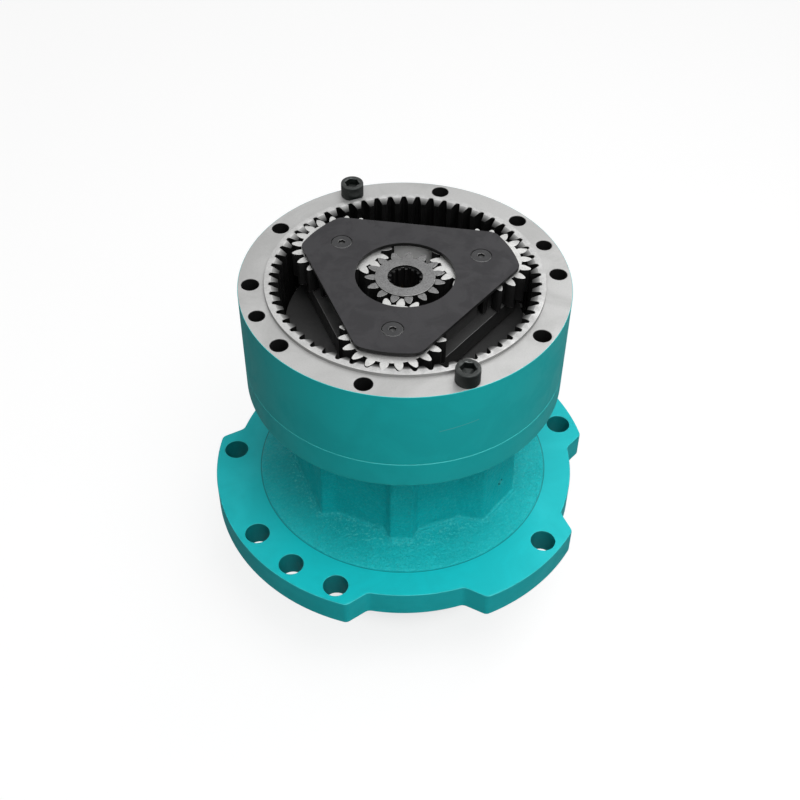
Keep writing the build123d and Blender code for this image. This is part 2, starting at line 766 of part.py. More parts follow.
# Second sun gear, hung from the first carrier by its spline
with BuildPart() as sun_gear_2:
    with BuildSketch(Plane.XY.offset(planet_2_bottom)):
        phase = sun_phase(sun_2_teeth, planet_2_teeth)
        gear_outline(sun_2_teeth, gear_module, sun_2_tooth, sun_2_root, sun_2_tip, phase)
    extrude(amount=planet_2_width)
    add_ring(0, sun_2_neck_radius, planet_2_top, spider_bottom)
    with BuildSketch(Plane.XY.offset(spider_bottom - sun_2_cut_out)):
        spline_outline(sun_2_spline_teeth, sun_2_spline_inner, sun_2_spline_outer)
    extrude(amount=sun_2_top - spider_bottom + sun_2_cut_out)
    add_ring(0, sun_2_bore, planet_2_bottom, sun_2_top, mode=Mode.SUBTRACT)
finish(sun_gear_2, "sun_gear_2")

# Open snap ring over the second sun gear
with BuildPart() as sun_2_snap_ring:
    snap_top = snap_bottom + snap_ring_thickness
    add_ring(snap_groove_radius - snap_ring_width, snap_groove_radius, snap_bottom, snap_top)
    with Locations((0, snap_groove_radius, snap_bottom)):
        Box(snap_ring_opening, snap_groove_radius, 3 * snap_ring_thickness, mode=Mode.SUBTRACT)
finish(sun_2_snap_ring, "sun_2_snap_ring")

# Spacer between the two sun gears
with BuildPart() as centre_spacer:
    add_ring(sun_2_bore, spacer_radius, sun_2_top, sun_1_bottom - sun_1_lift)
finish(centre_spacer, "centre_spacer")

# Second carrier: disc, posts, web and the hub that slides on the output shaft
with BuildPart() as carrier_2:
    add_ring(0, carrier_2_radius, disc_bottom, disc_top)
    with BuildSketch(Plane.XY.offset(web_top)):
        post_outline(post_2_inner, carrier_2_radius, centre_2, planet_2_tip + planet_room, carrier_2_radius)
    extrude(amount=disc_bottom - web_top)
    add_ring(0, carrier_2_radius, web_bottom, web_top)
    add_ring(0, carrier_2_hub_radius, hub_bottom, web_bottom)
    add_ring(0, carrier_2_eye, disc_bottom, disc_top, mode=Mode.SUBTRACT)
    with BuildSketch(Plane.XY.offset(hub_bottom)):
        spline_outline(output_spline_teeth, output_spline_inner, output_spline_outer, spline_gap)
    extrude(amount=shaft_top - hub_bottom, mode=Mode.SUBTRACT)
    add_ring(0, retainer_radius + retainer_clearance, shaft_top, web_top, mode=Mode.SUBTRACT)
    add_rounds(centre_2, planet_count, 0, pin_2_radius, web_bottom, disc_top, mode=Mode.SUBTRACT)
    add_lock_pins(carrier_2_radius + lock_pin_radius, mode=Mode.SUBTRACT)
finish(carrier_2, "carrier_2")

# Planet pins of the second stage, drilled across for their lock pins
with BuildPart() as stage_2_pins:
    add_rounds(centre_2, planet_count, 0, pin_2_radius, web_bottom, disc_top)
    add_lock_pins(carrier_2_radius, mode=Mode.SUBTRACT)
finish(stage_2_pins, "stage_2_pins")

# Lock pins, driven in from the rim of the second carrier
with BuildPart() as stage_2_lock_pins:
    add_lock_pins(carrier_2_radius - lock_pin_inset)
finish(stage_2_lock_pins, "stage_2_lock_pins")

# Needle bearings of the second planets, each set drawn as one sleeve
with BuildPart() as stage_2_needle_bearings:
    needle_radius = pin_2_radius + needle_2_depth
    low, high = web_top + thrust_washer, disc_bottom - thrust_washer
    add_rounds(centre_2, planet_count, 0, needle_radius, low, high, inner=pin_2_radius)
finish(stage_2_needle_bearings, "stage_2_needle_bearings")

# Thrust washers under and over the second planets
with BuildPart() as stage_2_washers:
    washer_radius = pin_2_radius + washer_width
    for low in (web_top, disc_bottom - thrust_washer):
        add_rounds(centre_2, planet_count, 0, washer_radius, low, low + thrust_washer, inner=pin_2_radius)
finish(stage_2_washers, "stage_2_washers")

# Planets of the second stage
for number, letter in enumerate("abc"):
    with BuildPart() as planet_2:
        with BuildSketch(planet_plane(centre_2, number, planet_2_bottom)):
            phase = planet_phase(planet_2_teeth)
            gear_outline(planet_2_teeth, gear_module, planet_2_tooth, planet_2_root, planet_2_tip, phase)
            Circle(planet_2_bore, mode=Mode.SUBTRACT)
        extrude(amount=planet_2_width)
    finish(planet_2, f"planet_2{letter}")

# Output shaft in one piece with its pinion
with BuildPart() as pinion_shaft:
    with BuildSketch(Plane.XY.offset(pinion_bottom)):
        gear_outline(pinion_teeth, pinion_module, pinion_tooth, pinion_root, pinion_tip)
    extrude(amount=pinion_width)
    add_ring(0, lower_journal_radius, collar_bottom, lower_bearing_top)
    add_ring(0, shaft_middle_radius, lower_bearing_top, upper_bearing_bottom)
    add_ring(0, upper_journal_radius, upper_bearing_bottom, hub_bottom)
    with BuildSketch(Plane.XY.offset(hub_bottom)):
        spline_outline(output_spline_teeth, output_spline_inner, output_spline_outer)
    extrude(amount=shaft_top - hub_bottom)
    screw_bottom = web_top - retainer_screw_length
    add_rounds(
        retainer_screw_circle,
        retainer_screw_count,
        0,
        retainer_screw_radius,
        screw_bottom,
        shaft_top,
        mode=Mode.SUBTRACT,
    )
    drill_top = pinion_bottom + centre_drill_depth
    add_ring(0, centre_drill_radius, pinion_bottom, drill_top, mode=Mode.SUBTRACT)
finish(pinion_shaft, "pinion_shaft")

# Plate that clamps the second carrier on the shaft
with BuildPart() as shaft_retainer:
    add_ring(0, retainer_radius, shaft_top, web_top)
    add_rounds(
        retainer_screw_circle,
        retainer_screw_count,
        0,
        retainer_screw_radius,
        shaft_top,
        web_top,
        mode=Mode.SUBTRACT,
    )
    add_cones(
        retainer_screw_circle,
        retainer_screw_count,
        retainer_screw_radius,
        retainer_head_radius,
        retainer_head_bottom,
        web_top,
        mode=Mode.SUBTRACT,
    )
finish(shaft_retainer, "shaft_retainer")

# Flush screws of the clamping plate
with BuildPart() as retainer_screws:
    screw_bottom = web_top - retainer_screw_length
    head_bottom = retainer_head_bottom
    add_rounds(
        retainer_screw_circle, retainer_screw_count, 0, retainer_screw_radius, screw_bottom, head_bottom
    )
    add_cones(
        retainer_screw_circle,
        retainer_screw_count,
        retainer_screw_radius,
        retainer_head_radius,
        head_bottom,
        web_top,
    )
    add_sockets(
        retainer_screw_circle, retainer_screw_count, 0, retainer_socket, web_top, retainer_socket_depth
    )
finish(retainer_screws, "retainer_screws")

# Lower tapered roller bearing, wide end down
with BuildPart() as lower_bearing_cup:
    add_cup(
        lower_bearing_radius,
        lower_orbit_radius,
        lower_roller_radius,
        lower_bearing_bottom,
        lower_bearing_width,
        -1,
    )
finish(lower_bearing_cup, "lower_bearing_cup")

with BuildPart() as lower_bearing_cone:
    add_cone(
        lower_journal_radius,
        lower_orbit_radius,
        lower_roller_radius,
        lower_bearing_bottom,
        lower_bearing_width,
        -1,
    )
finish(lower_bearing_cone, "lower_bearing_cone")

with BuildPart() as lower_bearing_rollers:
    add_rollers(lower_orbit_radius, lower_roller_radius, lower_bearing_bottom, lower_bearing_width, -1)
finish(lower_bearing_rollers, "lower_bearing_rollers")

# Upper tapered roller bearing, wide end up
with BuildPart() as upper_bearing_cup:
    add_cup(
        upper_bearing_radius,
        upper_orbit_radius,
        upper_roller_radius,
        upper_bearing_bottom,
        upper_bearing_width,
        1,
    )
finish(upper_bearing_cup, "upper_bearing_cup")

with BuildPart() as upper_bearing_cone:
    add_cone(
        upper_journal_radius,
        upper_orbit_radius,
        upper_roller_radius,
        upper_bearing_bottom,
        upper_bearing_width,
        1,
    )
finish(upper_bearing_cone, "upper_bearing_cone")

with BuildPart() as upper_bearing_rollers:
    add_rollers(upper_orbit_radius, upper_roller_radius, upper_bearing_bottom, upper_bearing_width, 1)
finish(upper_bearing_rollers, "upper_bearing_rollers")

# Collar between the pinion and the lower bearing, on which the oil seal runs
with BuildPart() as seal_collar:
    add_ring(lower_journal_radius, collar_radius, collar_bottom, lower_bearing_bottom)
finish(seal_collar, "seal_collar")

# Carrier of the oil seal, under the lower bearing's cup
with BuildPart() as seal_carrier:
    add_ring(seal_radius, lower_bearing_radius, carrier_bottom, lower_bearing_bottom)
finish(seal_carrier, "seal_carrier")

# Oil seal with a lip on the collar
with BuildPart() as oil_seal:
    seal_top = carrier_bottom + seal_width
    add_ring(collar_radius + running_clearance, seal_radius, carrier_bottom, seal_top)
    hollow_inner, hollow_outer = collar_radius + seal_lip, seal_radius - seal_lip
    add_ring(hollow_inner, hollow_outer, carrier_bottom + seal_lip, seal_top, mode=Mode.SUBTRACT)
finish(oil_seal, "oil_seal")

# Circlip that holds the seal carrier in the nose
with BuildPart() as seal_circlip:
    circlip_radius = lower_bearing_radius + circlip_groove_depth
    circlip_bottom = carrier_bottom - circlip_thickness
    add_ring(circlip_radius - circlip_width, circlip_radius, circlip_bottom, carrier_bottom)
finish(seal_circlip, "seal_circlip")
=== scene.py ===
"""Looks of a planetary swing gearbox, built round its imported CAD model.

Every length is in metres and in the CAD model's own frame: +Z runs up the output axis, and the
origin lies in the seat plane of the base flange.
"""

from __future__ import annotations

import logging
from collections.abc import Callable
from dataclasses import dataclass, field
from enum import Enum
from math import acos, atan2, cos, hypot, pi, radians, sin, sqrt, tan

import bpy
from mathutils import Matrix, Vector, noise
from mathutils.geometry import tessellate_polygon

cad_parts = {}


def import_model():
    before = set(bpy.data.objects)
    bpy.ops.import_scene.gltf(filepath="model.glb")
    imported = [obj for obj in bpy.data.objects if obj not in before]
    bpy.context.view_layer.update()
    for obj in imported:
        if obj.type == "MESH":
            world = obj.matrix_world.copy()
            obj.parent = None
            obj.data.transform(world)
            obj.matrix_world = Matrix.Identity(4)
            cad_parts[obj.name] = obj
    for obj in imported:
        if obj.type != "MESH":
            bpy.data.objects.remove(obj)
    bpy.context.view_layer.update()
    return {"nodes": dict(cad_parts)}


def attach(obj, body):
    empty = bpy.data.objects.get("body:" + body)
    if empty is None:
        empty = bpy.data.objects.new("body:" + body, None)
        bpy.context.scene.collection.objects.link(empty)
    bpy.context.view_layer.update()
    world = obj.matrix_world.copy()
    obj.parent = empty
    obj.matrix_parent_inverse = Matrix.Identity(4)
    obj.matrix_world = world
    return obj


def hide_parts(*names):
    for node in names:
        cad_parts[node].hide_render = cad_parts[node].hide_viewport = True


LOG = logging.getLogger("swing_gearbox")
MM = 0.001
FULL = 2 * pi
PRESSURE = radians(20)
AXIS = 0.01 * MM  # stands for radius 0, where a turned skin can't close

Point = tuple[float, float]
Corner = tuple[float, float, float]
Socket = bpy.types.NodeSocket
Tree = bpy.types.NodeTree
Finish = bpy.types.Material
Piece = bpy.types.Object


class Grain(Enum):
    """How a bare metal surface was made, which sets its relief."""

    GROUND = "ground"
    TURNED = "turned"


# Shapes


@dataclass
class Shell:
    """Corners and faces of a mesh that is still being put together."""

    corners: list[Corner] = field(default_factory=list)
    faces: list[tuple[int, ...]] = field(default_factory=list)

    def piece(self, name: str, smooth_below: float = 32.0) -> Piece:
        """Makes the shell an object at the origin.

        Args:
            name: Name of the object.
            smooth_below: Angle in degrees over which an edge stays sharp.

        Returns:
            The new object, linked to the scene.
        """
        mesh = bpy.data.meshes.new(name)
        mesh.from_pydata(self.corners, [], self.faces)
        mesh.validate()
        mesh.shade_smooth()
        mesh.set_sharp_from_angle(angle=radians(smooth_below))
        thing = bpy.data.objects.new(name, mesh)
        bpy.context.scene.collection.objects.link(thing)
        return thing


def settle(piece: Piece) -> Piece:
    """Makes the result of a piece's modifiers its plain mesh, with flat faces shaded flat.

    Args:
        piece: The object, with or without modifiers.

    Returns:
        The same object, without modifiers.
    """
    piece.modifiers.new("weights", "WEIGHTED_NORMAL").keep_sharp = True
    evaluated = piece.evaluated_get(bpy.context.evaluated_depsgraph_get())
    mesh = bpy.data.meshes.new_from_object(evaluated)
    piece.modifiers.clear()
    piece.data = mesh
    mesh.name = piece.name
    return piece


def polar(radius: float, angle: float) -> Point:
    """Returns the point at a radius and an angle in radians."""
    return radius * cos(angle), radius * sin(angle)


def hexagon(across: float, angle: float) -> float:
    """Returns how far a hexagon reaches at an angle, from its width across flats."""
    return across / 2 / cos(angle % (pi / 3) - pi / 6)


def circle(radius: float, count: int, centre: Point = (0.0, 0.0), inner: bool = True) -> list[Point]:
    """Returns a round outline, clockwise where it bounds a hole.

    Args:
        radius: Radius of the circle.
        count: Number of points.
        centre: Its centre.
        inner: Whether it bounds a hole.

    Returns:
        The points in order.
    """
    way = -1 if inner else 1
    turns = [way * FULL * step / count for step in range(count)]
    return [(centre[0] + radius * cos(turn), centre[1] + radius * sin(turn)) for turn in turns]


def straight(start: Point, end: Point, steps: int) -> list[Point]:
    """Returns evenly spaced points from one point up to, but without, another one."""
    shares = [step / steps for step in range(steps)]
    return [(start[0] + (end[0] - start[0]) * part, start[1] + (end[1] - start[1]) * part) for part in shares]


def softened(points: list[Point], reach: int, every: int = 1) -> list[Point]:
    """Rounds an outline's corners by averaging each point with its neighbours.

    Args:
        points: Closed outline with even spacing.
        reach: Number of neighbours on either side.
        every: Step between the points that are kept.

    Returns:
        The rounded outline.
    """
    soft = []
    for number in range(0, len(points), every):
        near = [points[(number + step) % len(points)] for step in range(-reach, reach + 1)]
        soft.append((sum(x for x, _ in near) / len(near), sum(y for _, y in near) / len(near)))
    return soft


def inset(points: list[Point], distance: float) -> list[Point]:
    """Returns an outline moved to its left side, which is into the material.

    Args:
        points: Closed outline with the material on its left.
        distance: How far it moves.

    Returns:
        The moved points.
    """
    sharpest = 0.35
    moved = []
    for number, (x, y) in enumerate(points):
        ax, ay = points[number - 1]
        bx, by = points[(number + 1) % len(points)]
        before, after = hypot(x - ax, y - ay), hypot(bx - x, by - y)
        nx1, ny1 = -(y - ay) / before, (x - ax) / before
        nx2, ny2 = -(by - y) / after, (bx - x) / after
        share = distance / max(sharpest, 1 + nx1 * nx2 + ny1 * ny2)
        moved.append((x + (nx1 + nx2) * share, y + (ny1 + ny2) * share))
    return moved


def rounding(low: float, high: float, edge: float) -> list[Point]:
    """Returns the steps of a wall with both its edges rounded.

    Args:
        low: Bottom of the wall.
        high: Top of the wall.
        edge: Radius of the edges.

    Returns:
        (height, inset) steps from the bottom up.
    """
    slack = edge * (1 - sqrt(0.5))
    bottom = [(low, edge), (low + slack, slack), (low + edge, 0.0)]
    return bottom + [(high - edge, 0.0), (high - slack, slack), (high, edge)]


def prism(outlines: list[list[Point]], low: float, high: float, edge: float) -> Shell:
    """Makes a flat piece from outlines, with rounded edges on both faces.

    Args:
        outlines: The outer outline counter-clockwise, then the holes clockwise.
        low: Height of its bottom.
        high: Height of its top.
        edge: Radius of the edges.

    Returns:
        The closed shell.
    """
    shell = Shell()
    rims: tuple[list[range], list[range]] = ([], [])
    steps = rounding(low, high, edge)
    for outline in outlines:
        count, first = len(outline), len(shell.corners)
        for height, shift in steps:
            shell.corners += [(x, y, height) for x, y in (inset(outline, shift) if shift else outline)]
        for level in range(first, first + (len(steps) - 1) * count, count):
            for number in range(count):
                here, there = level + number, level + (number + 1) % count
                shell.faces.append((here, there, there + count, here + count))
        rims[0].append(range(first, first + count))
        rims[1].append(range(len(shell.corners) - count, len(shell.corners)))
    for top, loops in enumerate(rims):
        flat = [corner for loop in loops for corner in loop]
        places = [[Vector((*shell.corners[corner][:2], 0.0)) for corner in loop] for loop in loops]
        for a, b, c in tessellate_polygon(places):
            pa, pb, pc = (shell.corners[flat[number]] for number in (a, b, c))
            turn = (pb[0] - pa[0]) * (pc[1] - pa[1]) - (pb[1] - pa[1]) * (pc[0] - pa[0])
            order = (a, b, c) if (turn > 0) == bool(top) else (a, c, b)
            shell.faces.append(tuple(flat[number] for number in order))
    return shell


def loft(rows: list[list[Corner]], closed: bool, flip: bool = False) -> Shell:
    """Joins rows of corners, each of them a closed loop, into a skin.

    Args:
        rows: Loops with the same number of corners.
        closed: Whether the last row joins the first.
        flip: Whether the faces are turned round.

    Returns:
        The skin.
    """
    size = len(rows[0])
    shell = Shell([corner for row in rows for corner in row])
    for number in range(len(rows) if closed else len(rows) - 1):
        here, there = number * size, (number + 1) % len(rows) * size
        for step in range(size):
            after = (step + 1) % size
            face = (here + step, there + step, there + after, here + after)
            shell.faces.append(face[::-1] if flip else face)
    return shell


def revolve(profile: Callable[[int, float], list[Point]], count: int) -> Shell:
    """Makes a skin round the Z axis whose profile may change on the way.

    Args:
        profile: Gives the closed profile's (radius, height) corners for a step and its angle.
        count: Number of steps round the axis.

    Returns:
        The closed shell.
    """
    rows = []
    for step in range(count):
        turn = FULL * step / count
        rows.append([(*polar(r, turn), z) for r, z in profile(step, turn)])
    return loft(rows, True)


# Nodes


class Bench:
    """Places and links the nodes of one tree."""

    def __init__(self, tree: Tree) -> None:
        """Takes the tree that the nodes go into."""
        self.tree = tree

    def add(self, kind: str, inputs: dict | None = None, **settings: object) -> bpy.types.NodeOutputs:
        """Adds a node, sets its fields and fills its inputs.

        Args:
            kind: Type name of the node.
            inputs: Input name or number to a value, or to an output that is linked to it.
            settings: Fields of the node.

        Returns:
            The node's outputs.
        """
        node = self.tree.nodes.new(kind)
        for name, value in settings.items():
            setattr(node, name, value)
        for name, value in (inputs or {}).items():
            if isinstance(value, Socket):
                self.tree.links.new(value, node.inputs[name])
            else:
                node.inputs[name].default_value = value
        return node.outputs

    def math(self, operation: str, *values: object) -> Socket:
        """Adds a Math node for values in their order and returns its output."""
        return self.add("ShaderNodeMath", dict(enumerate(values)), operation=operation)[0]

    def times(self, first: object, *others: object) -> Socket:
        """Multiplies values and returns the product."""
        for other in others:
            first = self.math("MULTIPLY", first, other)
        return first

    def off(self, value: object, target: float) -> Socket:
        """Returns how far a value is from a target."""
        return self.math("ABSOLUTE", self.math("SUBTRACT", value, target))

    def span(self, value: object, low: float, high: float, start: float = 0.0, end: float = 1.0) -> Socket:
        """Maps the range from low to high onto start to end, clamped and with soft ends."""
        inputs = {"Value": value, "From Min": low, "From Max": high, "To Min": start, "To Max": end}
        return self.add("ShaderNodeMapRange", inputs, interpolation_type="SMOOTHSTEP")[0]

    def blend(self, first: Socket | Corner, second: Socket | Corner, *shares: object) -> Socket:
        """Mixes two colours and returns the result.

        Args:
            first: The colour that is there, as an output or as red, green and blue.
            second: The colour that is mixed in.
            shares: How much of it, as factors.

        Returns:
            The mixed colour.
        """
        first, second = ((*colour, 1) if isinstance(colour, tuple) else colour for colour in (first, second))
        inputs = {0: self.times(*shares), 6: first, 7: second}
        return self.add("ShaderNodeMix", inputs, data_type="RGBA")[2]

    def place(self) -> Socket:
        """Returns the Object coordinates."""
        return self.add("ShaderNodeTexCoord")["Object"]

    def axes(self, vector: Socket) -> bpy.types.NodeOutputs:
        """Returns the X, Y and Z of a vector."""
        return self.add("ShaderNodeSeparateXYZ", {0: vector})

    def radius(self, place: Socket) -> Socket:
        """Returns the distance of a place from the Z axis."""
        flat = self.add("ShaderNodeVectorMath", {0: place, 1: (1, 1, 0)}, operation="MULTIPLY")[0]
        return self.add("ShaderNodeVectorMath", {0: flat}, operation="LENGTH")["Value"]

    def noise(self, size: float | Socket, detail: float, rough: float, distortion: float = 0.0) -> Socket:
        """Adds noise.

        Args:
            size: Size of its features in metres, or an output that gives it.
            detail: Number of finer layers.
            rough: Share of the finer layers.
            distortion: How much it is twisted.

        Returns:
            Its value.
        """
        scale = self.math("DIVIDE", 1.0, size) if isinstance(size, Socket) else 1.0 / size
        inputs = {"Scale": scale, "Detail": detail, "Roughness": rough, "Distortion": distortion}
        return self.add("ShaderNodeTexNoise", {"Vector": self.place(), **inputs})[0]

    def group(self, tree: Tree, **inputs: float) -> bpy.types.NodeOutputs:
        """Adds a node group and returns its outputs."""
        return self.add("ShaderNodeGroup", inputs, node_tree=tree)

    def bump(self, height: Socket, strength: float, distance: float) -> Socket:
        """Returns the normal of a relief with a strength and a depth in metres."""
        return self.add("ShaderNodeBump", {"Height": height, "Strength": strength, "Distance": distance})[0]


class GroupBench(Bench):
    """Bench for a new node group with number inputs."""

    def __init__(self, name: str, kind: str = "Shader", **inputs: float) -> None:
        """Starts a group.

        Args:
            name: Name of the group.
            kind: Kind of its tree, Shader or Geometry.
            inputs: Names of its number inputs, with their usual values.
        """
        super().__init__(bpy.data.node_groups.new(name, f"{kind}NodeTree"))
        for label, usual in inputs.items():
            self.socket(label, "Float").default_value = usual
        self.given = self.add("NodeGroupInput")

    def socket(self, label: str, kind: str, way: str = "INPUT") -> bpy.types.NodeTreeInterfaceSocket:
        """Adds a socket to the group's interface and returns it."""
        return self.tree.interface.new_socket(label, in_out=way, socket_type=f"NodeSocket{kind}")

    def close(self, kind: str = "Float", **outputs: Socket) -> Tree:
        """Adds the outputs and returns the finished group."""
        for label in outputs:
            self.socket(label, kind, "OUTPUT")
        self.add("NodeGroupOutput", outputs)
        return self.tree


class MaterialBench(Bench):
    """Bench for a new material whose only shader is a Principled BSDF."""

    def __init__(self, name: str) -> None:
        """Starts an empty material."""
        self.material = bpy.data.materials.new(name)
        self.material.use_nodes = True
        self.material.node_tree.nodes.clear()
        super().__init__(self.material.node_tree)

    def close(self, inputs: dict) -> Finish:
        """Adds the shader with its inputs and returns the finished material."""
        shader = self.add("ShaderNodeBsdfPrincipled", inputs)
        self.add("ShaderNodeOutputMaterial", {"Surface": shader[0]})
        return self.material


class Effects:
    """Node groups that more than one finish or piece uses."""

    def __init__(self) -> None:
        """Builds masks for level faces and rounded edges, grains, patches and a cast skin."""
        bench = GroupBench("facing")
        normal = bench.add("ShaderNodeNewGeometry")["Normal"]
        height = bench.math("ABSOLUTE", bench.axes(normal)["Z"])
        level = bench.span(height, 0.90, 0.985)
        wall = bench.span(height, 0.22, 0.12)
        edge = bench.math("SUBTRACT", bench.math("SUBTRACT", 1.0, level), wall)
        self.facing = bench.close(Level=level, Edge=bench.math("MAXIMUM", edge, 0.0))

        bench = GroupBench("speckle", Size=0.0012, Cover=0.5)
        fine = bench.noise(bench.given["Size"], 3.0, 0.75)
        start = bench.math("MULTIPLY_ADD", bench.given["Cover"], -0.22, 0.60)
        mask = bench.times(bench.math("SUBTRACT", fine, start), 9.0)
        self.speckle = bench.close(Mask=bench.add("ShaderNodeClamp", {"Value": mask})[0])

        bench = GroupBench("smudge", Size=0.03)
        broad = bench.noise(bench.given["Size"], 5.0, 0.6, 0.6)
        self.smudge = bench.close(Mask=bench.span(broad, 0.36, 0.66))

        bench = GroupBench("casting", Size=0.0035)
        grit, lumps = bench.noise(bench.given["Size"], 4.0, 0.62), bench.noise(0.014, 2.0, 0.55)
        self.casting = bench.close(Height=bench.math("MULTIPLY_ADD", lumps, 0.9, grit))

    @staticmethod
    def repeat() -> Tree:
        """Builds the Geometry Nodes tree that repeats a piece round the Z axis."""
        bench = GroupBench("repeat_round", "Geometry")
        labels = ("Geometry", "Count", "Radius", "Start", "Finish")
        for label, kind in zip(labels, ("Geometry", "Int", "Float", "Float", "Material")):
            bench.socket(label, kind)
        given = bench.given
        step = bench.math("DIVIDE", FULL, given["Count"])
        turn = bench.math("MULTIPLY_ADD", bench.add("GeometryNodeInputIndex")[0], step, given["Start"])
        x, y = (bench.times(bench.math(way, turn), given["Radius"]) for way in ("COSINE", "SINE"))
        place = bench.add("ShaderNodeCombineXYZ", {"X": x, "Y": y})[0]
        points = bench.add("GeometryNodePoints", {"Count": given["Count"], "Position": place})[0]
        spin = bench.add("ShaderNodeCombineXYZ", {"Z": turn})[0]
        euler = bench.add("FunctionNodeEulerToRotation", {0: spin})[0]
        copying = {"Points": points, "Instance": given["Geometry"], "Rotation": euler}
        copies = bench.add("GeometryNodeInstanceOnPoints", copying)[0]
        real = bench.add("GeometryNodeRealizeInstances", {"Geometry": copies})[0]
        whole = bench.add("GeometryNodeMergeByDistance", {"Geometry": real, "Distance": 2e-6})[0]
        dressed = bench.add("GeometryNodeSetMaterial", {"Geometry": whole, "Material": given["Finish"]})[0]
        return bench.close("Geometry", Geometry=dressed)


# Finishes


@dataclass(frozen=True)
class Scratch:
    """Place of the long scratch on the ring gear's wall."""

    start: float = radians(-100.6)
    reach: float = radians(13.5)
    height: float = 0.2480
    slope: float = 0.020
    half_width: float = 0.0003

    def mask(self, bench: Bench, axes: bpy.types.NodeOutputs) -> Socket:
        """Builds the mask of the scratch.

        Args:
            bench: Bench of the material.
            axes: X, Y and Z of the place.

        Returns:
            The mask.
        """
        along = bench.math("SUBTRACT", bench.math("ARCTAN2", axes["Y"], axes["X"]), self.start)
        height = bench.math("MULTIPLY_ADD", along, self.slope, self.height)
        line = bench.math("LESS_THAN", bench.off(axes["Z"], height), self.half_width)
        begun, unended = bench.math("GREATER_THAN", along, 0.0), bench.math("LESS_THAN", along, self.reach)
        return bench.times(line, bench.times(begun, unended), 0.7)


@dataclass(frozen=True)
class PaintFinish:
    """Turquoise enamel with the relief of what is under it, and with a painted highlight on its rounded
    edges.
    """

    name: str
    colour: Corner = (0.012, 0.650, 0.665)
    deep: Corner = (0.007, 0.430, 0.460)
    # pale colour of the cast grains, also used for the painted highlights on edges and at the neck's root
    pale_grit_and_highlight: Corner = (0.120, 0.900, 0.910)
    rough_cast: bool = False
    seam_height: float | None = None
    bare_inside: float | None = None
    # radius of a painted shade line where the raised cast area steps down
    line_radius: float | None = None
    scratch: Scratch | None = None
    seam_colour: Corner = (0.08, 0.80, 0.79)
    step_shade_colour: Corner = (0.003, 0.12, 0.13)
    scratch_colour: Corner = (0.20, 0.62, 0.62)

    def material(self, effects: Effects) -> Finish:
        """Builds the material.

        Args:
            effects: The shared node groups.

        Returns:
            The material.
        """
        bench = MaterialBench(self.name)
        place = bench.place()
        axes, radius = bench.axes(place), bench.radius(place)
        smudge = bench.group(effects.smudge, Size=0.06)["Mask"]
        facing = bench.group(effects.facing)
        colour = bench.blend(self.colour, self.deep, smudge, 0.22)
        cast, machined = (0.0036, 1.0, 0.0026, 0.10), (0.009, 0.14, 0.0006, 0.75)
        size, strength, depth, edge_highlight = cast if self.rough_cast else machined
        # painted highlight: rounded edges are lightened towards the pale colour
        colour = bench.blend(colour, self.pale_grit_and_highlight, facing["Edge"], edge_highlight)
        if self.rough_cast:
            colour = self._grains(bench, effects, colour, axes["Z"], radius)
        if self.seam_height is not None:
            wide = bench.times(bench.span(bench.noise(0.02, 4.0, 0.55), 0.36, 0.60), 0.0008)
            bead = bench.math("LESS_THAN", bench.off(axes["Z"], self.seam_height), wide)
            colour = bench.blend(colour, self.seam_colour, bead, 0.7)
        # painted shade: a dark line along the step at the edge of the raised cast area
        if self.line_radius is not None:
            line = bench.span(bench.off(radius, self.line_radius), 0.0009, 0.0003)
            colour = bench.blend(colour, self.step_shade_colour, line, 0.65)
        if self.scratch is not None:
            colour = bench.blend(colour, self.scratch_colour, self.scratch.mask(bench, axes))
        rough, metallic = bench.span(smudge, 0.0, 1.0, 0.36, 0.46), 0.0
        if self.bare_inside is not None:
            bare = bench.math("LESS_THAN", radius, self.bare_inside)
            bare = bench.times(bare, bench.math("GREATER_THAN", axes["Z"], Housing.height + 10 * MM))
            colour = bench.blend(colour, self._bare(bench, effects, smudge, facing), bare)
            rough = bench.math("MULTIPLY_ADD", bare, 0.08, rough)
            metallic = bench.times(bare, facing["Level"], 0.5)
        relief = bench.group(effects.casting, Size=size)["Height"]
        shine = {"Metallic": metallic, "Roughness": rough, "Specular IOR Level": 0.22}
        return bench.close({"Base Color": colour, "Normal": bench.bump(relief, strength, depth), **shine})

    def _grains(
        self, bench: Bench, effects: Effects, colour: Socket, height: Socket, radius: Socket
    ) -> Socket:
        """Returns the colour with the grains of sand-cast iron; the pale grains are raised into a painted
        highlight along the ridge at the neck's root.
        """
        light = bench.group(effects.speckle, Size=0.0030, Cover=0.36)["Mask"]
        dark = bench.group(effects.speckle, Size=0.0026, Cover=0.20)["Mask"]
        # painted highlight along the ridge at the neck's root
        root = bench.span(height, Housing.base + 6 * MM, Housing.base + 2.5 * MM, 0.0, 0.65)
        root = bench.times(root, bench.span(radius, 0.132, 0.124))
        colour = bench.blend(colour, self.pale_grit_and_highlight, light, bench.math("ADD", root, 0.26))
        return bench.blend(colour, self.deep, dark, 0.32)

    @staticmethod
    def _bare(bench: Bench, effects: Effects, smudge: Socket, facing: bpy.types.NodeOutputs) -> Socket:
        """Returns the colour of the bare machined face, with painted shade: its hole walls near black and its
        rounded rims a darker grey.
        """
        fine = bench.group(effects.speckle, Size=0.0011, Cover=0.45)["Mask"]
        clean, dull, pits = (0.47, 0.47, 0.465), (0.34, 0.34, 0.335), (0.22, 0.22, 0.215)
        # painted shade: hole walls near black, rounded rims a darker grey than the face
        hole, rim = (0.010, 0.010, 0.010), (0.26, 0.26, 0.26)
        steel = bench.blend(bench.blend(clean, dull, smudge, 0.5), pits, fine, 0.16)
        return bench.blend(bench.blend(hole, steel, facing["Level"]), rim, facing["Edge"])


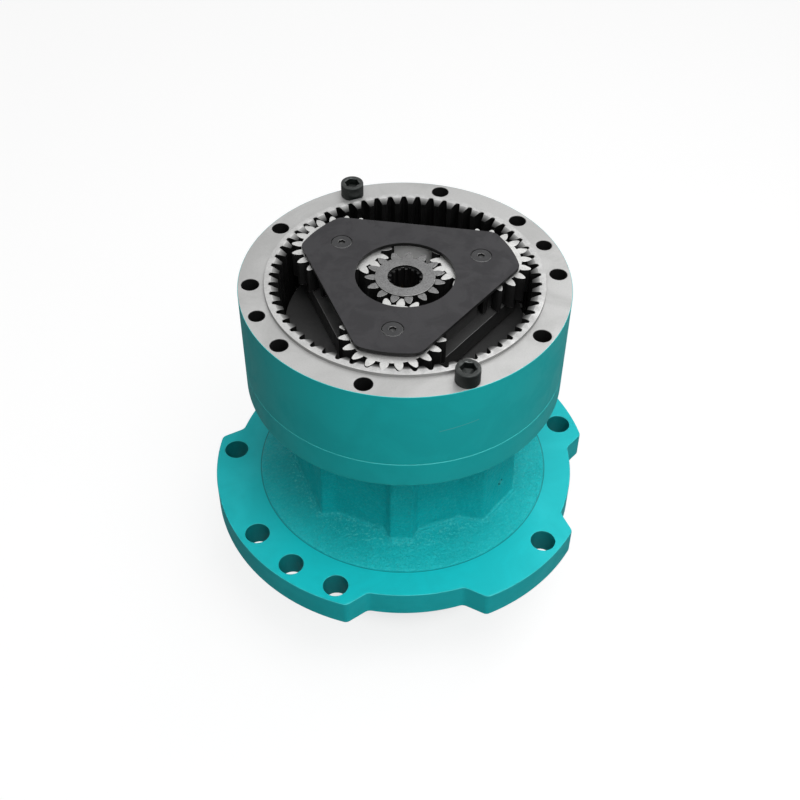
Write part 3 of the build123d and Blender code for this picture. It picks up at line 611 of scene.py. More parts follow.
@dataclass(frozen=True)
class SteelFinish:
    """Bare metal whose level faces, rounded edges and walls differ: the level colour is painted light, the
    wall colour painted shade and the edge colour a painted highlight.
    """

    name: str
    # painted light: lit colour of level faces, shaded colour of walls, highlight colour of rounded edges
    level: Corner
    wall: Corner
    edge: Corner
    grain: Grain = Grain.GROUND
    metallic: float = 0.7
    roughness: float = 0.42
    speckle: float = 0.3
    speckle_size: float = 0.0011
    # painted shading of the walls further out, between the radii in far
    far_wall: Corner | None = None
    far: Point = (0.0, 1.0)
    # painted shade: inside these radii the colour turns towards the wall shade
    dim_inside: Point | None = None
    dim_share: float = 0.0
    gloss: float = 0.5

    def material(self, effects: Effects) -> Finish:
        """Builds the material.

        Args:
            effects: The shared node groups.

        Returns:
            The material.
        """
        bench = MaterialBench(self.name)
        place = bench.place()
        radius = bench.radius(place)
        facing = bench.group(effects.facing)
        smudge = bench.group(effects.smudge, Size=0.022)["Mask"]
        grains = bench.group(effects.speckle, Size=self.speckle_size, Cover=0.5)["Mask"]
        darker, darkest = (tuple(share * part for part in self.level) for share in (0.62, 0.4))
        level = bench.blend(self.level, darker, smudge, 0.45)
        level = bench.blend(level, darkest, grains, self.speckle)
        wall = self.wall
        if self.far_wall is not None:
            wall = bench.blend(wall, self.far_wall, bench.span(radius, *self.far))
        # painted light: level faces lit, walls shaded, rounded edges highlighted
        colour = bench.blend(bench.blend(wall, level, facing["Level"]), self.edge, facing["Edge"])
        # painted shade towards the axis, on the ring gear's sloped tooth ends and in the sun's splined bore
        if self.dim_inside is not None:
            inner, outer = self.dim_inside
            share = bench.times(bench.span(radius, inner, outer + 4 * MM), self.dim_share)
            share = bench.math("MAXIMUM", share, bench.math("GREATER_THAN", radius, outer))
            colour = bench.blend(self.wall, colour, share)
        if self.grain is Grain.TURNED:
            waves = {"Vector": place, "Scale": 420.0, "Distortion": 1.5, "Detail": 2.0}
            ridges = bench.add("ShaderNodeTexWave", waves, wave_type="RINGS", rings_direction="Z")["Fac"]
            normal = bench.bump(ridges, 0.25, 0.0002)
        else:
            normal = bench.bump(bench.noise(0.0009, 3.0, 0.7), 0.22, 0.0002)
        rough = bench.span(smudge, 0.0, 1.0, self.roughness - 0.06, self.roughness + 0.10)
        shine = {"Metallic": self.metallic, "Roughness": rough, "Specular IOR Level": self.gloss}
        return bench.close({"Base Color": colour, "Normal": normal, **shine})


def rubber(effects: Effects) -> Finish:
    """Builds rubber with a dull mottled skin from the shared node groups."""
    bench = MaterialBench("seal_rubber")
    smudge = bench.group(effects.smudge, Size=0.012)["Mask"]
    black, dull = (0.018, 0.018, 0.019), (0.05, 0.05, 0.05)
    colour = bench.blend(black, dull, smudge, 0.5)
    normal = bench.bump(bench.noise(0.0012, 4.0, 0.55), 0.3, 0.0002)
    rough = bench.span(smudge, 0.0, 1.0, 0.5, 0.7)
    return bench.close({"Base Color": colour, "Normal": normal, "Roughness": rough})


class Kit:
    """What every piece is made with: all finishes and the repeating tree, built once."""

    def __init__(self) -> None:
        """Builds the finishes and the tree."""
        effects = Effects()

        def paint(name: str, *colours: Corner, **fields: object) -> Finish:
            """Builds a material of paint."""
            return PaintFinish(name, *colours, **fields).material(effects)

        def steel(name: str, *shades: float | Corner, **fields: object) -> Finish:
            """Builds a material of metal, where a single number is a grey shade."""
            colours = (shade if isinstance(shade, tuple) else (shade,) * 3 for shade in shades)
            return SteelFinish(name, *colours, **fields).material(effects)

        seam, ring, post = Housing.height, RingGear(), FirstStage.post_inner
        # radius of the painted shade line at the cast area's step
        line = Housing.cast_area + 0.8 * MM
        # painted light: the flange and the cast area get lighter copies of the same paint than the band and
        # the ring gear's wall
        self.casting = paint("paint_on_casting", (0.012, 0.720, 0.755), rough_cast=True)
        self.flange = paint("paint_on_flange", (0.014, 0.740, 0.790), line_radius=line)
        # painted shade: darker copy of the paint for the walls of the bolt holes and the drain port
        self.holes = paint("paint_in_holes", (0.007, 0.330, 0.350), (0.004, 0.200, 0.215))
        self.band = paint("paint_on_band", seam_height=seam)
        bare = ring.case - 0.5 * MM
        self.ring = paint("paint_and_bare_face", seam_height=seam, bare_inside=bare, scratch=Scratch())
        bright, slope_end = (0.60, 0.60, 0.59), ring.toothing().slope_start
        # each steel finish gives a lit level shade, a shaded wall shade and a highlighted edge shade
        self.ring_teeth = steel(
            "ring_teeth_steel", (0.52, 0.52, 0.515), 0.016, (0.55, 0.55, 0.54),
            # the register's step walls are painted a lighter grey than the shaded tooth walls
            far_wall=(0.34, 0.34, 0.335), far=(ring.register - 2 * MM, ring.register - 1 * MM),
            dim_inside=(slope_end - ring.end_slope, slope_end), dim_share=0.85,
        )
        self.planet = steel("planet_steel", bright, 0.035, (0.82, 0.82, 0.81))
        self.sun = steel(
            "sun_steel", 0.20, 0.02, (0.55, 0.55, 0.54),
            speckle=0.65, speckle_size=0.0015, dim_inside=(15 * MM, 17.6 * MM),
        )
        self.plate = steel(
            "plate_steel", (0.030, 0.029, 0.032), 0.010, 0.040,
            metallic=0.05, roughness=0.5, speckle=0.15, gloss=0.25,
        )
        self.spider = steel(
            "spider_steel", 0.10, 0.045, 0.35, metallic=0.5
        )
        # painted light: the post's inner face is near white as if lit through the plate's bore, its outer
        # faces near black as in the top plate's shadow
        self.post = steel(
            "post_steel", (0.5, 0.5, 0.49), (0.95, 0.95, 0.94), (0.9, 0.9, 0.89), metallic=0.0, roughness=0.5,
            far_wall=(0.045, 0.045, 0.045), far=(post + 4.5 * MM, post + 9 * MM),
        )
        self.disc = steel(
            "disc_steel", 0.050, 0.02, 0.05,
            grain=Grain.TURNED, metallic=0.4, roughness=0.5, speckle=0.1,
        )
        self.screw = steel(
            "cap_screw_black", (0.010, 0.013, 0.012), (0.008, 0.011, 0.010), (0.045, 0.052, 0.050),
            metallic=0.3, roughness=0.35, speckle=0.1,
        )
        self.flat_screw = steel(
            "flat_screw_steel", (0.034, 0.034, 0.036), 0.010, 0.24,
            metallic=0.1, roughness=0.45, speckle=0.2, gloss=0.3,
        )
        self.bearing = steel("bearing_steel", bright, 0.5, bright, roughness=0.25)
        self.shaft = steel(
            "shaft_steel", 0.36, 0.30, 0.5, grain=Grain.TURNED, roughness=0.36
        )
        self.bronze = steel("washer_bronze", (0.42, 0.25, 0.09), (0.36, 0.2, 0.07), (0.5, 0.3, 0.12))
        self.spring = steel("spring_steel", (0.06, 0.06, 0.065), 0.05, 0.2)
        self.rubber = rubber(effects)
        self.tree = effects.repeat()

    def spread(
        self, seed: Shell, name: str, finish: Finish, count: int, radius: float = 0.0, start: float = 0.0
    ) -> Piece:
        """Repeats a shell round the Z axis with Geometry Nodes and keeps the plain result.

        Args:
            seed: The shell that is repeated.
            name: Name of the object.
            finish: Material of the result.
            count: Number of copies.
            radius: Radius that they stand on.
            start: Angle of the first copy in radians.

        Returns:
            The object, with a plain mesh and no modifier.
        """
        piece = seed.piece(name)
        modifier = piece.modifiers.new("repeat_round", "NODES")
        modifier.node_group = self.tree
        given = {"Count": count, "Radius": radius, "Start": start, "Finish": finish}
        for item in self.tree.interface.items_tree:
            if item.name in given:
                modifier[item.identifier] = given[item.name]
        return settle(piece)


def show(piece: Piece, finish: Finish, body: str, slot: str, *nodes: str) -> Piece:
    """Dresses a piece and hands it to the frame.

    Args:
        piece: The finished object.
        finish: Its material.
        body: The body that it moves with.
        slot: Not used.
        nodes: CAD nodes that it stands for.

    Returns:
        The same object.
    """
    piece.data.materials.clear()
    piece.data.materials.append(finish)
    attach(piece, body)
    if nodes:
        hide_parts(*nodes)
    LOG.info("%s: %d faces on %s", piece.name, len(piece.data.polygons), body)
    return piece


def shade_hole_walls(
    piece: Piece, finish: Finish, start: Corner, way: Corner, spots: list[Corner], radius: float
) -> None:
    """Gives the walls of round holes a second material, a darker paint that is painted shade.

    Args:
        piece: The dressed object.
        finish: Material of the walls.
        start: Where the holes may begin; nothing before it along the way is touched.
        way: Unit direction of the holes.
        spots: A point on the axis of each hole.
        radius: Radius of the holes.
    """
    axis = Vector(way)
    near, steepest = radius + 0.4 * MM, 0.6
    number = len(piece.data.materials)
    piece.data.materials.append(finish)
    for face in piece.data.polygons:
        if abs(face.normal.dot(axis)) > steepest or (face.center - Vector(start)).dot(axis) < 0:
            continue
        if any((face.center - Vector(spot)).cross(axis).length < near for spot in spots):
            face.material_index = number


# Pieces


@dataclass(frozen=True)
class Toothing:
    """One gear's teeth, with involute flanks."""

    teeth: int
    module: float
    thickness: float
    root: float
    tip: float
    crown: float = 1 * MM
    slope_start: float = 1.0
    slope: float = 0.0

    def flank(self, radius: float) -> float:
        """Returns the half angle that a sharp tooth fills at a radius."""
        pitch = self.teeth * self.module / 2
        base = pitch * cos(PRESSURE)
        local = acos(base / max(radius, base))
        return self.thickness / (2 * pitch) + (tan(PRESSURE) - PRESSURE - tan(local) + local)

    def half(self, radius: float) -> float:
        """Returns the half angle that a tooth with its round crown fills at a radius."""
        blunt = 0.30
        share = min(max(radius - self.tip + self.crown, 0.0) / self.crown, 1.0)
        return self.flank(radius) * (blunt + (1 - blunt) * sqrt(1 - share**2))

    def drop(self, point: Point) -> float:
        """Returns how far the top lies below its level on the sloped ends of a ring gear's teeth."""
        return max(0.0, self.slope_start - hypot(*point)) * self.slope

    def pitch_points(self) -> list[Point]:
        """Returns the outline over one pitch, counter-clockwise from root middle to root middle."""
        start, steps = self.tip - self.crown, 5
        radii = [self.root + (start - self.root) * part / steps for part in range(steps + 1)]
        radii += [start + self.crown * sin(pi / 2 * part / steps) for part in range(1, steps + 1)]
        edge = pi / self.teeth
        rise = [polar(self.root, -edge), polar(self.root, -(edge + self.half(self.root)) / 2)]
        rise += [polar(radius, -self.half(radius)) for radius in radii]
        rise.append(polar(self.tip, -self.half(self.tip) / 3))
        return rise + [(x, -y) for x, y in reversed(rise)]

    def sector(self, rim: float, low: float, high: float, edge: float) -> Shell:
        """Makes one pitch of the gear, from its teeth to a round rim.

        Args:
            rim: Radius of the rim, inside the teeth or, for a ring gear, outside them.
            low: Height of the bottom.
            high: Height of the top.
            edge: Radius of the edges.

        Returns:
            An open shell that closes when it is repeated.
        """
        internal = rim > self.tip
        side = -1.0 if internal else 1.0
        points, half, beyond = self.pitch_points(), pi / self.teeth, 0.01
        padded = [polar(self.root, -half - beyond), *points, polar(self.root, half + beyond)]
        rows = []
        for number, point in enumerate(points):
            angle = atan2(point[1], point[0])
            loop = []
            for height, shift in rounding(low, high, edge):
                place = inset(padded, side * shift)[number + 1] if shift else point
                if number in (0, len(points) - 1):
                    place = polar(self.root - side * shift, angle)
                loop.append((*place, height - (self.drop(place) if height > low + edge else 0.0)))
            if internal:
                loop.append((*polar(max(self.slope_start, hypot(*loop[-1][:2])), angle), high))
            turn = -half + 2 * half * number / (len(points) - 1)
            for height, shift in reversed(rounding(low, high, edge)):
                loop.append((*polar(rim + side * shift, turn), height))
            rows.append(loop)
        return loft(rows, False, internal)


@dataclass(frozen=True)
class Boss:
    """A rib or pad on the neck, whose sides spread towards the axis."""

    angle: float
    reach: float
    low: float
    high: float
    low_spread: float
    high_spread: float

    def radius(self, angle: float) -> float:
        """Returns how far the boss reaches in a direction in radians, 0 behind it."""
        off = (angle - radians(self.angle) + pi) % FULL - pi
        if abs(off) > pi / 3:
            return 0.0
        spread, edge = (self.high_spread, self.high) if off > 0 else (self.low_spread, -self.low)
        side = (edge + spread * self.reach) / (abs(sin(off)) + spread * cos(off))
        return min(self.reach / cos(off), side)


@dataclass
class Housing:
    """Painted casting: base flange, ribbed neck, top flange and nose."""

    height: float = 205 * MM
    base: float = 32 * MM
    lobe: float = 211 * MM
    waist: float = 190.5 * MM
    run: float = 5.0
    lobes: tuple[Point, ...] = ((-11.0, 37.0), (73.0, 127.0), (149.5, 232.5), (273.0, 309.0))
    bolt_circle: float = 191 * MM
    bolt_hole: float = 13 * MM
    bolts: tuple[float, ...] = (30.4, 120.4, 210.4, 300.4, 80.0, 154.6, 193.4, 227.0, 355.4)
    cast_area: float = 160 * MM
    cast_rise: float = 1.5 * MM
    flat: float = 103.5 * MM
    sides: int = 8
    bosses: tuple[Boss, ...] = (
        *(
            Boss(angle, 118 * MM, -12.5 * MM, 12.5 * MM, 0.30, 0.30)
            for angle in (22.5, 67.5, 112.5, 247.5, 337.5)
        ),
        Boss(180.0, 113 * MM, -47 * MM, 47 * MM, 0.15, 0.15),
        Boss(300.0, 124.5 * MM, -17 * MM, 40 * MM, 0.60, 0.15),
    )
    draft: float = 0.018
    port_angle: float = radians(300.0)
    port_side: float = 13 * MM
    port_height: float = 68 * MM
    port: float = 4 * MM
    case: float = 165 * MM
    top_flange: float = 30 * MM
    register: float = 139 * MM
    register_low: float = 194 * MM
    foot: float = 3.5 * MM
    ridge: float = 1.7 * MM
    nose: float = 110 * MM
    nose_depth: float = 30 * MM
    spigot_depth: float = 12 * MM
    lower_seat: float = 95 * MM
    lower_seat_high: float = 45 * MM
    groove: float = 98 * MM
    groove_depths: Point = (25 * MM, 27.8 * MM)
    middle: float = 84 * MM
    shoulder: float = 80 * MM
    shoulder_low: float = 106 * MM
    upper_seat: float = 90 * MM
    upper_seat_low: float = 116 * MM
    cavity: float = 124 * MM
    cavity_low: float = 184 * MM
    lap: float = 1 * MM
    edge: float = 1.5 * MM

    def flange_outline(self) -> list[Point]:
        """Returns the lobed outline of the base flange with softened corners."""
        raw: list[Point] = []
        spacing = 0.7 * MM
        nexts = [start for start, _ in self.lobes[1:]] + [self.lobes[0][0] + 360]
        for (start, end), following in zip(self.lobes, nexts):
            for radius, a1, a2, other, a3 in (
                (self.lobe, start, end, self.waist, end + self.run),
                (self.waist, end + self.run, following - self.run, self.lobe, following),
            ):
                steps = max(2, round(radians(a2 - a1) * radius / spacing))
                raw += [polar(radius, radians(a1 + (a2 - a1) * (step / steps))) for step in range(steps)]
                p1, p2 = polar(radius, radians(a2)), polar(other, radians(a3))
                raw += straight(p1, p2, max(2, round(hypot(p2[0] - p1[0], p2[1] - p1[1]) / spacing)))
        return softened(raw, 5, 2)

    def base_flange(self) -> Shell:
        """Makes the base flange with its bolt holes."""
        holes = [circle(self.bolt_hole, 48, polar(self.bolt_circle, radians(angle))) for angle in self.bolts]
        bore = circle(self.nose - 4 * MM, 120)
        return prism([self.flange_outline(), bore, *holes], 0.0, self.base, edge=1.2 * MM)

    def neck_radius(self, angle: float) -> float:
        """Returns the neck's radius in a direction, ribs and pads included."""
        step = FULL / self.sides
        off = (angle + step / 2) % step - step / 2
        return max([self.flat / cos(off)] + [boss.radius(angle) for boss in self.bosses])

    @staticmethod
    def relief(radius: float, angle: float, height: float, *layers: Point) -> float:
        """Returns the sum at a place of noise layers, each given by its depth and its scale."""
        place = Vector((*polar(radius, angle), height))
        return sum(depth * noise.noise(place * scale) for depth, scale in layers)

    def rough(self, radius: float, angle: float, height: float) -> Point:
        """Returns a (radius, height) corner of the cast wall, moved a little in or out."""
        return radius + self.relief(radius, angle, height, (0.55 * MM, 70), (0.3 * MM, 260)), height

    def neck(self) -> Shell:
        """Makes the neck with its foot and the rough raised area round it."""
        count, arc, levels, rings = 900, 5, 24, 20
        raw = [self.neck_radius(FULL * step / count) for step in range(count)]
        ground = self.base + self.cast_rise
        roof = self.height - self.top_flange
        out, brink = self.cast_area, 0.7 * MM
        cavities = [
            (self.flat, roof + self.lap), (self.upper_seat, roof + self.lap),
            (self.upper_seat, self.upper_seat_low), (self.shoulder, self.upper_seat_low),
            (self.shoulder, self.shoulder_low), (self.middle, self.shoulder_low),
            (self.middle, self.lower_seat_high), (self.lower_seat, self.lower_seat_high),
            (self.lower_seat, self.base - self.lap),
        ]

        def profile(step: int, angle: float) -> list[Point]:
            """Returns the section at an angle, from the cast area's edge inwards and up."""
            wall = sum(raw[(step + near) % count] for near in range(-2, 3)) / 5
            points = [(out, self.base - self.lap), (out, ground - brink), (out - brink, ground)]
            start, end = out - 2 * MM, wall + self.foot + 2.2 * MM
            for part in range(1, rings):
                r = start + (end - start) * part / rings
                points.append((r, ground + self.relief(r, angle, ground, (0.30 * MM, 180))))
            lump = self.ridge * (0.75 + self.relief(0.11, angle, 0.7, (0.55, 130)))
            for inward, share in ((0.5 * MM, 0.35), (1.2 * MM, 1.0), (2 * MM, 0.7)):
                points.append((end - inward, ground + share * lump))
            for part in range(1, arc + 1):
                turn = pi / 2 * part / arc
                z = ground + 0.5 * lump + self.foot * (1 - cos(turn))
                points.append(self.rough(wall + self.foot * (1 - sin(turn)), angle, z))
            foot_top = ground + 1.5 * self.foot
            for part in range(1, levels):
                z = foot_top + (roof - foot_top) * part / levels
                points.append(self.rough(wall - self.draft * (z - ground), angle, z))
            return points + cavities

        return revolve(profile, count)

    def port_drill(self) -> Shell:
        """Makes the round tool that cuts the drain port."""
        c, s = polar(1.0, self.port_angle)
        count = 40
        rows = []
        for distance in (80 * MM, 140 * MM):
            ring = []
            for side, rise in (polar(self.port, FULL * step / count) for step in range(count)):
                side += self.port_side
                ring.append((distance * c - side * s, distance * s + side * c, self.port_height + rise))
            rows.append(ring)
        drill = loft(rows, False, True)
        drill.faces += [tuple(range(count))[::-1], tuple(range(count, 2 * count))]
        return drill

    def drilled_neck(self) -> Piece:
        """Makes the neck with its drain port."""
        neck = self.neck().piece("ribbed_neck", 50)
        tool = self.port_drill().piece("port_drill")
        cut = neck.modifiers.new("drain_port", "BOOLEAN")
        cut.operation, cut.solver, cut.object = "DIFFERENCE", "EXACT", tool
        settle(neck)
        bpy.data.objects.remove(tool)
        return neck

    def band(self) -> Shell:
        """Makes the top flange, seen as a band under the ring gear."""
        low, e, s = self.height - self.top_flange, self.edge, 0.5 * MM
        profile = [
            (self.upper_seat, low), (self.case - e, low), (self.case - 0.3 * e, low + 0.3 * e),
            (self.case, low + e), (self.case, self.height - s), (self.case - s, self.height),
            (self.register, self.height), (self.register, self.register_low),
            (self.cavity, self.register_low), (self.cavity, self.cavity_low),
            (self.upper_seat, self.cavity_low),
        ]
        return revolve(lambda *_: profile, 180)

    def underside(self) -> Shell:
        """Makes the spigot and the nose under the seat plane."""
        e, above = self.edge, self.base - self.lap
        groove_high, groove_low = (-depth for depth in self.groove_depths)
        profile = [
            (self.nose, above), (self.nose, 0.5 * MM), (self.register, 0.5 * MM),
            (self.register, e - self.spigot_depth), (self.register - e, -self.spigot_depth),
            (self.nose, -self.spigot_depth), (self.nose, e - self.nose_depth),
            (self.nose - e, -self.nose_depth), (self.lower_seat, -self.nose_depth),
            (self.lower_seat, groove_low), (self.groove, groove_low), (self.groove, groove_high),
            (self.lower_seat, groove_high), (self.lower_seat, above),
        ]
        return revolve(lambda *_: profile, 144)

    def build(self, kit: Kit) -> None:
        """Makes and dresses every piece of the casting."""
        place = ("case", "casting_paint")
        flange = show(settle(self.base_flange().piece("base_flange")), kit.flange, *place, "housing")
        bolts = [(*polar(self.bolt_circle, radians(angle)), 0.0) for angle in self.bolts]
        shade_hole_walls(flange, kit.holes, (0, 0, 0), (0, 0, 1), bolts, self.bolt_hole)
        neck = show(self.drilled_neck(), kit.casting, *place)
        c, s = polar(1.0, self.port_angle)
        port = (-self.port_side * s, self.port_side * c, self.port_height)
        shade_hole_walls(neck, kit.holes, (self.middle * c, self.middle * s, 0), (c, s, 0), [port], self.port)
        show(settle(self.band().piece("top_flange_band")), kit.band, *place)
        show(settle(self.underside().piece("spigot_and_nose")), kit.flange, *place)


@dataclass
class RingGear:
    """Ring gear: toothed inner part and the outer part with its holes."""

    top: float = 295 * MM
    bottom: float = 205 * MM
    register_top: float = 298.5 * MM
    register_bottom: float = 197 * MM
    register: float = 139 * MM
    case: float = 165 * MM
    hole_circle: float = 152.5 * MM
    hole: float = 8.75 * MM
    dowel: float = 8 * MM
    holes: range = range(18, 360, 36)
    teeth: int = 57
    module: float = 4.55 * MM
    shift: float = 0.2
    backlash: float = 0.5 * MM
    end_slope: float = 7 * MM
    end_drop: float = 2.8 * MM
    crown: float = 1.9 * MM
    turn: float = radians(-0.6)

    def toothing(self) -> Toothing:
        """Returns the spaces between the teeth as a toothing of their own."""
        pitch = self.teeth * self.module / 2
        width = self.module * (pi / 2 - 2 * self.shift * tan(PRESSURE)) + self.backlash / 2
        root = pitch - self.module
        tip = pitch + (1.25 - self.shift) * self.module
        slope = self.end_drop / self.end_slope
        return Toothing(self.teeth, self.module, width, root, tip, self.crown, root + self.end_slope, slope)

    def build(self, kit: Kit) -> None:
        """Makes and dresses the ring gear."""
        levels = (self.register_bottom, self.register_top)
        sector = self.toothing().sector(self.register, *levels, edge=0.45 * MM)
        teeth = kit.spread(sector, "ring_gear_teeth", kit.ring_teeth, self.teeth, start=self.turn)
        show(teeth, kit.ring_teeth, "case", "ring_paint", "ring_gear")
        holes = [circle(self.hole, 48, polar(self.hole_circle, radians(angle))) for angle in self.holes]
        holes += [circle(self.dowel, 48, (way * self.hole_circle, 0.0)) for way in (-1, 1)]
        outlines = [circle(self.case, 228, inner=False), circle(self.register - 0.4 * MM, 228), *holes]
        rim = prism(outlines, self.bottom, self.top, edge=0.8 * MM)
        show(settle(rim.piece("ring_gear_rim")), kit.ring, "case", "ring_paint")


@dataclass
class CapScrews:
    """The two socket cap screws on the ring gear."""

    circle: float = 152.5 * MM
    seat: float = 294.7 * MM
    head: float = 11.9 * MM
    height: float = 16 * MM
    knurl: float = 0.3 * MM
    socket: float = 14 * MM
    depth: float = 8 * MM
    shank: float = 8 * MM
    shank_low: float = 180 * MM

    def profile(self, step: int, turn: float) -> list[Point]:
        """Returns the section of a screw at an angle."""
        top = self.seat + self.height
        flat = hexagon(self.socket, turn)
        grip = self.head - self.knurl * (step % 2)
        return [
            (AXIS, self.shank_low), (self.shank - 0.8 * MM, self.shank_low),
            (self.shank, self.shank_low + 0.8 * MM), (self.shank, self.seat),
            (self.head - 0.5 * MM, self.seat), (self.head, self.seat + 0.5 * MM),
            (grip, self.seat + 1.5 * MM), (grip, top - 2 * MM), (self.head, top - 1.3 * MM),
            (self.head - 0.35 * MM, top - 0.4 * MM), (self.head - 1.3 * MM, top),
            (self.socket / sqrt(3) + 0.5 * MM, top), (flat, top - 0.9 * MM), (flat, top - self.depth),
            (AXIS, top - self.depth - 2.2 * MM),
        ]

    def build(self, kit: Kit) -> None:
        """Makes and dresses both screws."""
        seed = revolve(self.profile, 144)
        screws = kit.spread(seed, "ring_cap_screw_pair", kit.screw, 2, self.circle, pi / 2)
        show(screws, kit.screw, "case", "screw_steel", "ring_cap_screws")


@dataclass
class FirstStage:
    """Sun gear, planets, their carrier and the screws in its plate."""

    module: float = 4.55 * MM
    backlash: float = 0.5 * MM
    planet_teeth: int = 20
    planet_shift: float = 0.2431
    planet_turn: float = radians(-1.71)
    sun_teeth: int = 15
    sun_shift: float = 0.3061
    sun_turn: float = radians(14.28)
    crown: float = 1.3 * MM
    centre: float = 81.9 * MM
    planet_low: float = 268.5 * MM
    planet_high: float = 296.5 * MM
    planet_bore: float = 23.05 * MM
    sun_low: float = 267.5 * MM
    sun_high: float = 298 * MM
    hub_high: float = 299 * MM
    hub: float = 29.8 * MM
    mouth: float = 2.5 * MM
    spline_teeth: int = 14
    spline_inner: float = 14.4 * MM
    spline_outer: float = 17.2 * MM
    plate_low: float = 298 * MM
    plate_high: float = 302 * MM
    plate_bore: float = 49.5 * MM
    side: float = 81.5 * MM
    corner: float = 114.5 * MM
    screw_head: float = 10 * MM
    screw_shank: float = 5 * MM
    screw_length: float = 24 * MM
    screw_socket: float = 6.8 * MM
    spider_low: float = 248 * MM
    spider_high: float = 267 * MM
    spider_bore: float = 34.1 * MM
    post_inner: float = 57 * MM
    post_outer: float = 70 * MM
    planet_room: float = 53.8 * MM
    pin: float = 17.5 * MM

    def toothing(self, teeth: int, shift: float) -> Toothing:
        """Returns a gear's toothing for its number of teeth and its profile shift."""
        pitch = teeth * self.module / 2
        width = self.module * (pi / 2 + 2 * shift * tan(PRESSURE)) - self.backlash / 2
        root = pitch - (1.25 - shift) * self.module
        tip = pitch + (1 + shift) * self.module
        return Toothing(teeth, self.module, width, root, tip, self.crown)

    def planets(self, kit: Kit) -> None:
        """Makes and dresses the three planets."""
        gear = self.toothing(self.planet_teeth, self.planet_shift)
        sector = gear.sector(self.planet_bore, self.planet_low, self.planet_high, edge=0.35 * MM)
        for number, name in enumerate(("planet_1a", "planet_1b", "planet_1c")):
            piece = kit.spread(sector, f"{name}_gear", kit.planet, self.planet_teeth, start=self.planet_turn)
            turn = FULL * number / 3
            shift = Matrix.Translation((*polar(self.centre, turn), 0))
            piece.data.transform(shift @ Matrix.Rotation(turn, 4, "Z"))
            show(piece, kit.planet, name, "ground_gear_steel", name)

    def sun_hub(self) -> Shell:
        """Makes the hub of the sun gear, with a round mouth over its splined bore."""
        edge = 0.6 * MM
        mouth, shelf = self.spline_outer + 0.2 * MM, self.hub_high - self.mouth
        steps = rounding(self.sun_low, self.hub_high, edge)
        outside = [(self.hub - shift, height) for height, shift in steps]
        outside += [(mouth + shift, height) for height, shift in steps[:2:-1]]
        spots, space = (-0.30, -0.21, -0.1, 0.0, 0.1, 0.21, 0.30, 0.40, 0.5, 0.6), 0.22
        rows = []
        for number in range(self.spline_teeth):
            for part in spots:
                turn = (number + part) * (FULL / self.spline_teeth)
                bore = self.spline_outer if abs(part) < space else self.spline_inner
                inside = [(mouth, shelf), (bore + edge, shelf), (bore, shelf - edge), (bore, self.sun_low)]
                rows.append([(*polar(radius, turn), height) for radius, height in outside + inside])
        return loft(rows, True)

    def sun(self, kit: Kit) -> None:
        """Makes and dresses the sun gear."""
        gear = self.toothing(self.sun_teeth, self.sun_shift)
        sector = gear.sector(self.hub - 4 * MM, self.sun_low, self.sun_high, edge=0.5 * MM)
        teeth = kit.spread(sector, "sun_gear_1_teeth", kit.sun, self.sun_teeth, start=self.sun_turn)
        show(teeth, kit.sun, "sun_1", "sun_steel", "sun_gear_1")
        show(settle(self.sun_hub().piece("sun_gear_1_hub")), kit.sun, "sun_1", "sun_steel")

    def triangle(self, bore: list[Point], hole: float) -> list[list[Point]]:
        """Returns the outlines of a three-sided plate of the carrier.

        Args:
            bore: Outline of its bore.
            hole: Radius of its three holes.

        Returns:
            The outline with rounded corners, then the bore and the holes.
        """
        points: list[Point] = []
        arc = pi / 3 - acos(self.side / self.corner)
        steps = 40
        for number in range(3):
            first, last = FULL * number / 3 - arc, FULL * number / 3 + arc
            points += [polar(self.corner, first + (last - first) * step / steps) for step in range(steps)]
            points += straight(polar(self.corner, last), polar(self.corner, first + FULL / 3), 90)
        holes = [circle(hole, 64, polar(self.centre, FULL * number / 3)) for number in range(3)]
        return [softened(points, 3), bore, *holes]

    def flat_screw(self, _: int, turn: float) -> list[Point]:
        """Returns the section of a flush screw with a small socket at an angle."""
        top, low = self.plate_high - 0.1 * MM, self.plate_high - self.screw_length
        flat = hexagon(self.screw_socket, turn)
        head, shank = self.screw_head, self.screw_shank
        return [
            (AXIS, low), (shank, low), (shank, self.plate_low - 0.5 * MM),
            (head - 4 * MM, self.plate_low), (head, top - 0.6 * MM), (head - 0.3 * MM, top - 0.1 * MM),
            (head - 0.9 * MM, top), (flat + 0.4 * MM, top), (flat, top - 0.6 * MM),
            (flat, top - 3 * MM), (AXIS, top - 4 * MM),
        ]

    def post(self) -> Shell:
        """Makes a hollow-sided post of the carrier on the X axis."""
        apart, along = self.centre * sin(pi / 3), self.centre * cos(pi / 3)
        inner, outer, count = self.post_inner, self.post_outer, 14
        levels = [inner + (outer - inner) * step / count for step in range(count + 1)]
        right = [(n, -(apart - sqrt(self.planet_room**2 - (n - along) ** 2))) for n in levels]
        outline = right + [(n, -t) for n, t in reversed(right)]
        return prism([outline], self.spider_high - 1 * MM, self.plate_low, edge=0.3 * MM)

